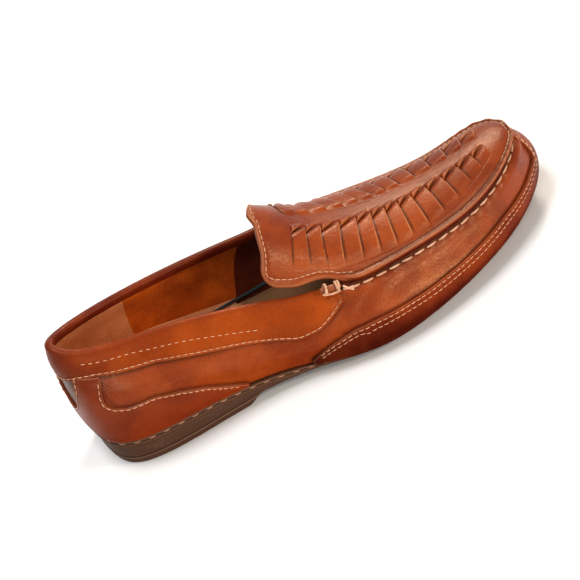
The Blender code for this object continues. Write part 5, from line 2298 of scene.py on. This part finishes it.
@dataclass
class Stitching:
    """Every row of stitches on the shoe."""

    last: Last
    tree: StitchTree = field(default_factory=StitchTree)
    skin_lift: float = OVERLAY_GAP + OVERLAY

    def on_wall(self, q: Array, level: Array, drop: float, lift: float) -> tuple[Array, Array]:
        """Path below an edge on the wall.

        Args:
            q: Stations.
            level: Level of the edge at each station.
            drop: Distance below the edge, in millimetres.
            lift: Height above the wall.

        Returns:
            Points and normals.
        """
        near = 0.02
        edge = self.last.wall(q, level)
        lower = self.last.wall(q, level - near)
        rate = near / np.maximum(np.linalg.norm(edge - lower, axis=-1), 1e-6)
        level = level - drop * rate
        points, out = self.last.face(q, level)
        return points + out * lift, out

    def beside(self, edge: Table, sign: int, start: float, end: float, drop: float,
               lift: float, pitch: float) -> Row:
        """Row at a true distance inside an overlay's edge, round its bends.

        Args:
            edge: Edge of the overlay, from the heel forward.
            sign: 1 on the inner side of the shoe, -1 on the outer.
            start: First place along the edge.
            end: Last place along the edge.
            drop: Distance from the edge; negative on its other side.
            lift: Height above the wall.
            pitch: Distance from stitch to stitch.

        Returns:
            The row.
        """
        along = np.linspace(start, end, 700)
        level = read_edge(edge, along, 0.015)
        line = self.last.wall(upright(sign * along, level), level)
        out = self.last.wall_out(sign * along, level)
        run = unit(np.gradient(line, axis=0))
        inward = unit(np.cross(run, out)) * sign
        inward = inward * np.sign(-inward[len(inward) // 2, 2])
        path = line + inward * drop
        keep = np.array([np.linalg.norm(line - point, axis=1).min() > abs(drop) - 0.06
                         for point in path])
        return Row((path + out * lift)[keep], out[keep], pitch, 0.74 * pitch, 0.5, 0.24)

    def wall_row(self, start: float, end: float, edge: Callable[[Array], Array], drop: float,
                 lift: float, pitch: float, length: float, width: float,
                 height: float = 0.3) -> Row:
        """Row that follows an edge on the wall from one station to another.

        Args:
            start: First station.
            end: Last station.
            edge: Level of the edge at stations.
            drop: Distance below the edge.
            lift: Height above the wall.
            pitch: Distance from stitch to stitch.
            length: Length of a stitch.
            width: Thickness of the thread.
            height: Height of a stitch.

        Returns:
            The row.
        """
        q = self.last.station(np.linspace(self.last.girth(start), self.last.girth(end), 400))
        path, up = self.on_wall(q, edge(q), drop, lift)
        return Row(path, up, pitch, length, width, height)

    def apron_rows(self) -> list[Row]:
        """Fine row round the apron and the tongue.

        Returns:
            The row, in a list.
        """
        apron = Apron(self.last)
        share = np.linspace(TONGUE_SHARE + 2.2 / APRON_LENGTH,
                            TOE_SHARE - apron.border_row / APRON_LENGTH, 300)
        half = self.last.half_width(share)
        edge = apron.edge_across(share) - apron.border(share) / half
        outer = edge - apron.tuck(share) / half
        across = np.linspace(-1, 1, 60)
        back = np.full(60, share[0])
        front = np.full(60, share[-1])
        behind, ahead = share < 0.04, share > 0.74
        loop_share = np.concatenate([share[ahead], front[1:-1], share[::-1], back[1:-1],
                                     share[behind]])
        loop_across = np.concatenate([edge[ahead], -across[1:-1] * edge[-1], -edge[::-1],
                                      across[1:-1] * edge[0], outer[behind]])
        loop_share += apron.swing(loop_share, loop_across)
        base, up = self.last.apron(loop_share, loop_across)
        return [Row(base + up * (APRON_TOP - 0.3), up, 3.4, 2.5, 0.55, 0.26)]

    def sole_rows(self) -> list[Row]:
        """Short dashes of thread in the groove of the midsole, on both sides.

        Returns:
            The row, in a list.
        """
        sole = Sole(self.last)
        q = self.last.station(np.linspace(self.last.girth(-4.2), self.last.girth(4.2), 500))
        path = sole.line(q, sole.inset(q) + 0.62)
        top = sole.midsole_top(path[:, 0], path[:, 1])
        low = sole.midsole_bottom(path[:, 0], path[:, 1])
        path[:, 2] = top * 0.6 + low * 0.4
        return [Row(path, self.last.outward(q), 8.4, 3.6, 0.5, 0.2)]

    def seam_rows(self) -> list[Row]:
        """Thick stitches that close the moccasin seam.

        Returns:
            The row, in a list.
        """
        start = TAB + 0.12
        return [self.wall_row(start, STATION_COUNT - start,
                              lambda q: np.full(np.shape(q), SEAM_LEVEL), 0.5, 0.55, SEAM_PITCH,
                              6.0, 1.35, 0.5)]

    def build(self, thick: bpy.types.Material, thread: bpy.types.Material) -> None:
        """Sew all rows.

        Args:
            thick: Thick thread.
            thread: Fine thread.
        """
        lift = self.skin_lift - 0.05
        settle(self.tree.lay("apron_stitches", self.apron_rows(), thread), "woven_leather")
        settle(self.tree.lay("seam_stitches", self.seam_rows(), thick), "vamp_leather")
        settle(self.tree.lay("sole_stitches", self.sole_rows(), thread), "midsole_rubber")
        start = 3.42
        wrap = [self.wall_row(start, STATION_COUNT - start, wrap_level, drop, lift - 0.2, 3.6,
                              2.7, 0.52) for drop in (1.7, 4.4)]
        settle(self.tree.lay("guard_stitches", wrap, thread), "wrap_leather")
        collar = Collar(self.last)
        band = [self.wall_row(-3.85, 3.85, collar.low, -1.6, lift - 0.2, 3.5, 2.6, 0.5)]
        band += [self.wall_row(sign * 1.04, sign * 2.82,
                               lambda q: read_edge(BAND_ROW, station_distance(q)), 0.0,
                               lift + 0.55, 3.8, 2.8, 0.5) for sign in (-1, 1)]
        settle(self.tree.lay("collar_stitches", band, thread), "collar_leather")
        counter = [self.beside(COUNTER_TOP, sign, start, end, 1.7, lift - 0.2, 3.4)
                   for sign in (-1, 1) for start, end in ((0.3, 0.6), (1.165, 2.5))]
        settle(self.tree.lay("counter_stitches", counter, thread), "counter_leather")


@dataclass(frozen=True)
class Studio:
    """Pale floor, soft light and the camera at the photograph's angle."""

    eye: tuple[float, float, float] = (-177.8, -670.6, 612.9)
    target: tuple[float, float, float] = (-18.3, -8.0, 40.0)
    roll: float = 22.07
    lens: float = 101.2
    floor_size: float = 30.0

    def build(self) -> None:
        """Make the floor, the lights and the camera."""
        self.build_floor()
        self.build_lights()
        self.build_camera()

    def build_floor(self) -> None:
        """Pale plain floor."""
        mesh = bpy.data.meshes.new("floor")
        half = self.floor_size / 2
        mesh.from_pydata([(-half, -half, 0), (half, -half, 0), (half, half, 0), (-half, half, 0)],
                         [], [(0, 1, 2, 3)])
        material = bpy.data.materials.new("pale_floor")
        material.use_nodes = True
        shader = material.node_tree.nodes["Principled BSDF"]
        shader.inputs["Base Color"].default_value = (0.9, 0.9, 0.9, 1)
        shader.inputs["Roughness"].default_value = 0.9
        shader.inputs["Specular IOR Level"].default_value = 0.1
        mesh.materials.append(material)
        floor = add_object("floor", mesh)
        floor.location.z = -0.0002
        floor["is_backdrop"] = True

    def add_light(self, name: str, place: Sequence[float], size: float, power: float,
                  colour: Sequence[float] = (1.0, 1.0, 1.0)) -> None:
        """Add a soft square light that faces the shoe.

        Args:
            name: Name of the light.
            place: Its place, in metres.
            size: Width, in metres.
            power: Power, in watts.
            colour: Colour.
        """
        light = bpy.data.lights.new(name, "AREA")
        light.size = size
        light.energy = power
        light.color = colour
        holder = add_object(name, light)
        holder.location = place
        aim = Vector((0, 0, 0.03)) - Vector(place)
        holder.rotation_euler = aim.to_track_quat("-Z", "Y").to_euler()

    def build_lights(self) -> None:
        """Soft light from above with a brighter side."""
        world = bpy.data.worlds.new("studio")
        world.use_nodes = True
        background = world.node_tree.nodes["Background"]
        background.inputs["Color"].default_value = (1, 1, 1, 1)
        background.inputs["Strength"].default_value = 0.31
        bpy.context.scene.world = world
        self.add_light("key_light", (-0.35, -0.05, 1.35), 0.5, 13)
        self.add_light("rim_light", (0.7, 0.9, 1.0), 0.4, 12, (1.0, 0.86, 0.72))
        self.add_light("side_light", (0.75, -0.82, 0.83), 0.2, 5.5, (1.0, 0.88, 0.74))
        self.add_light("low_light", (0.72, -1.15, 0.09), 0.16, 8, (1.0, 0.74, 0.48))
        self.add_light("heel_light", (-0.55, -0.95, 0.8), 0.16, 3)

    def build_camera(self) -> None:
        """Camera at the photograph's angle to the shoe."""
        camera = bpy.data.cameras.new("camera")
        camera.lens = self.lens
        camera.sensor_width = 36
        camera.clip_start = 0.01
        holder = add_object("camera", camera)
        eye = Vector(self.eye) * MM
        aim = Vector(self.target) * MM - eye
        turn = aim.to_track_quat("-Z", "Y").to_matrix()
        roll = Matrix.Rotation(-np.radians(self.roll), 3, "Z")
        holder.matrix_world = Matrix.Translation(eye) @ (turn @ roll).to_4x4()
        bpy.context.scene.camera = holder


def corners(box: tuple[Vector, Vector]) -> list[list[float]]:
    """Lowest and highest corner as plain lists."""
    return [[float(value) for value in corner] for corner in box]


def main() -> None:
    """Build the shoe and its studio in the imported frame."""
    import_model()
    solid_box = corners(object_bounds())
    last = Last()
    effects = Effects.build()
    leathers = {finish.name: finish.build(effects)
                for finish in (COGNAC, WOVEN, WRAP, BAND, COUNTER, TAB_LEATHER)}
    linings = [lining.build(effects)
               for lining in (HEEL_LINING, QUARTER_LINING, VAMP_LINING, SOCK_EDGE_PAINTED_LIGHT, TAPE, FOOTBED)]
    thread = THREAD.build(effects)
    Upper(last).build(leathers[COGNAC.name], linings)
    Collar(last).build(leathers[BAND.name])
    Overlays(last).build(leathers[COUNTER.name], leathers[WRAP.name])
    Apron(last).build(leathers[WOVEN.name], linings[2])
    Tabs(last).build(leathers[TAB_LEATHER.name], thread)
    sole = Sole(last)
    sole.build_insole(linings[5])
    sole.build(MIDSOLE_RUBBER.build(effects), OUTSOLE_RUBBER.build(effects))
    Stitching(last).build(thread, FINE_THREAD.build(effects))
    Studio().build()
    bpy.context.scene.view_settings.view_transform = "Standard"
    sizes = {"solids": solid_box, "scene": corners(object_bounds())}


if __name__ == "__main__":
    logging.basicConfig(level=logging.INFO, format="%(message)s")
    main()
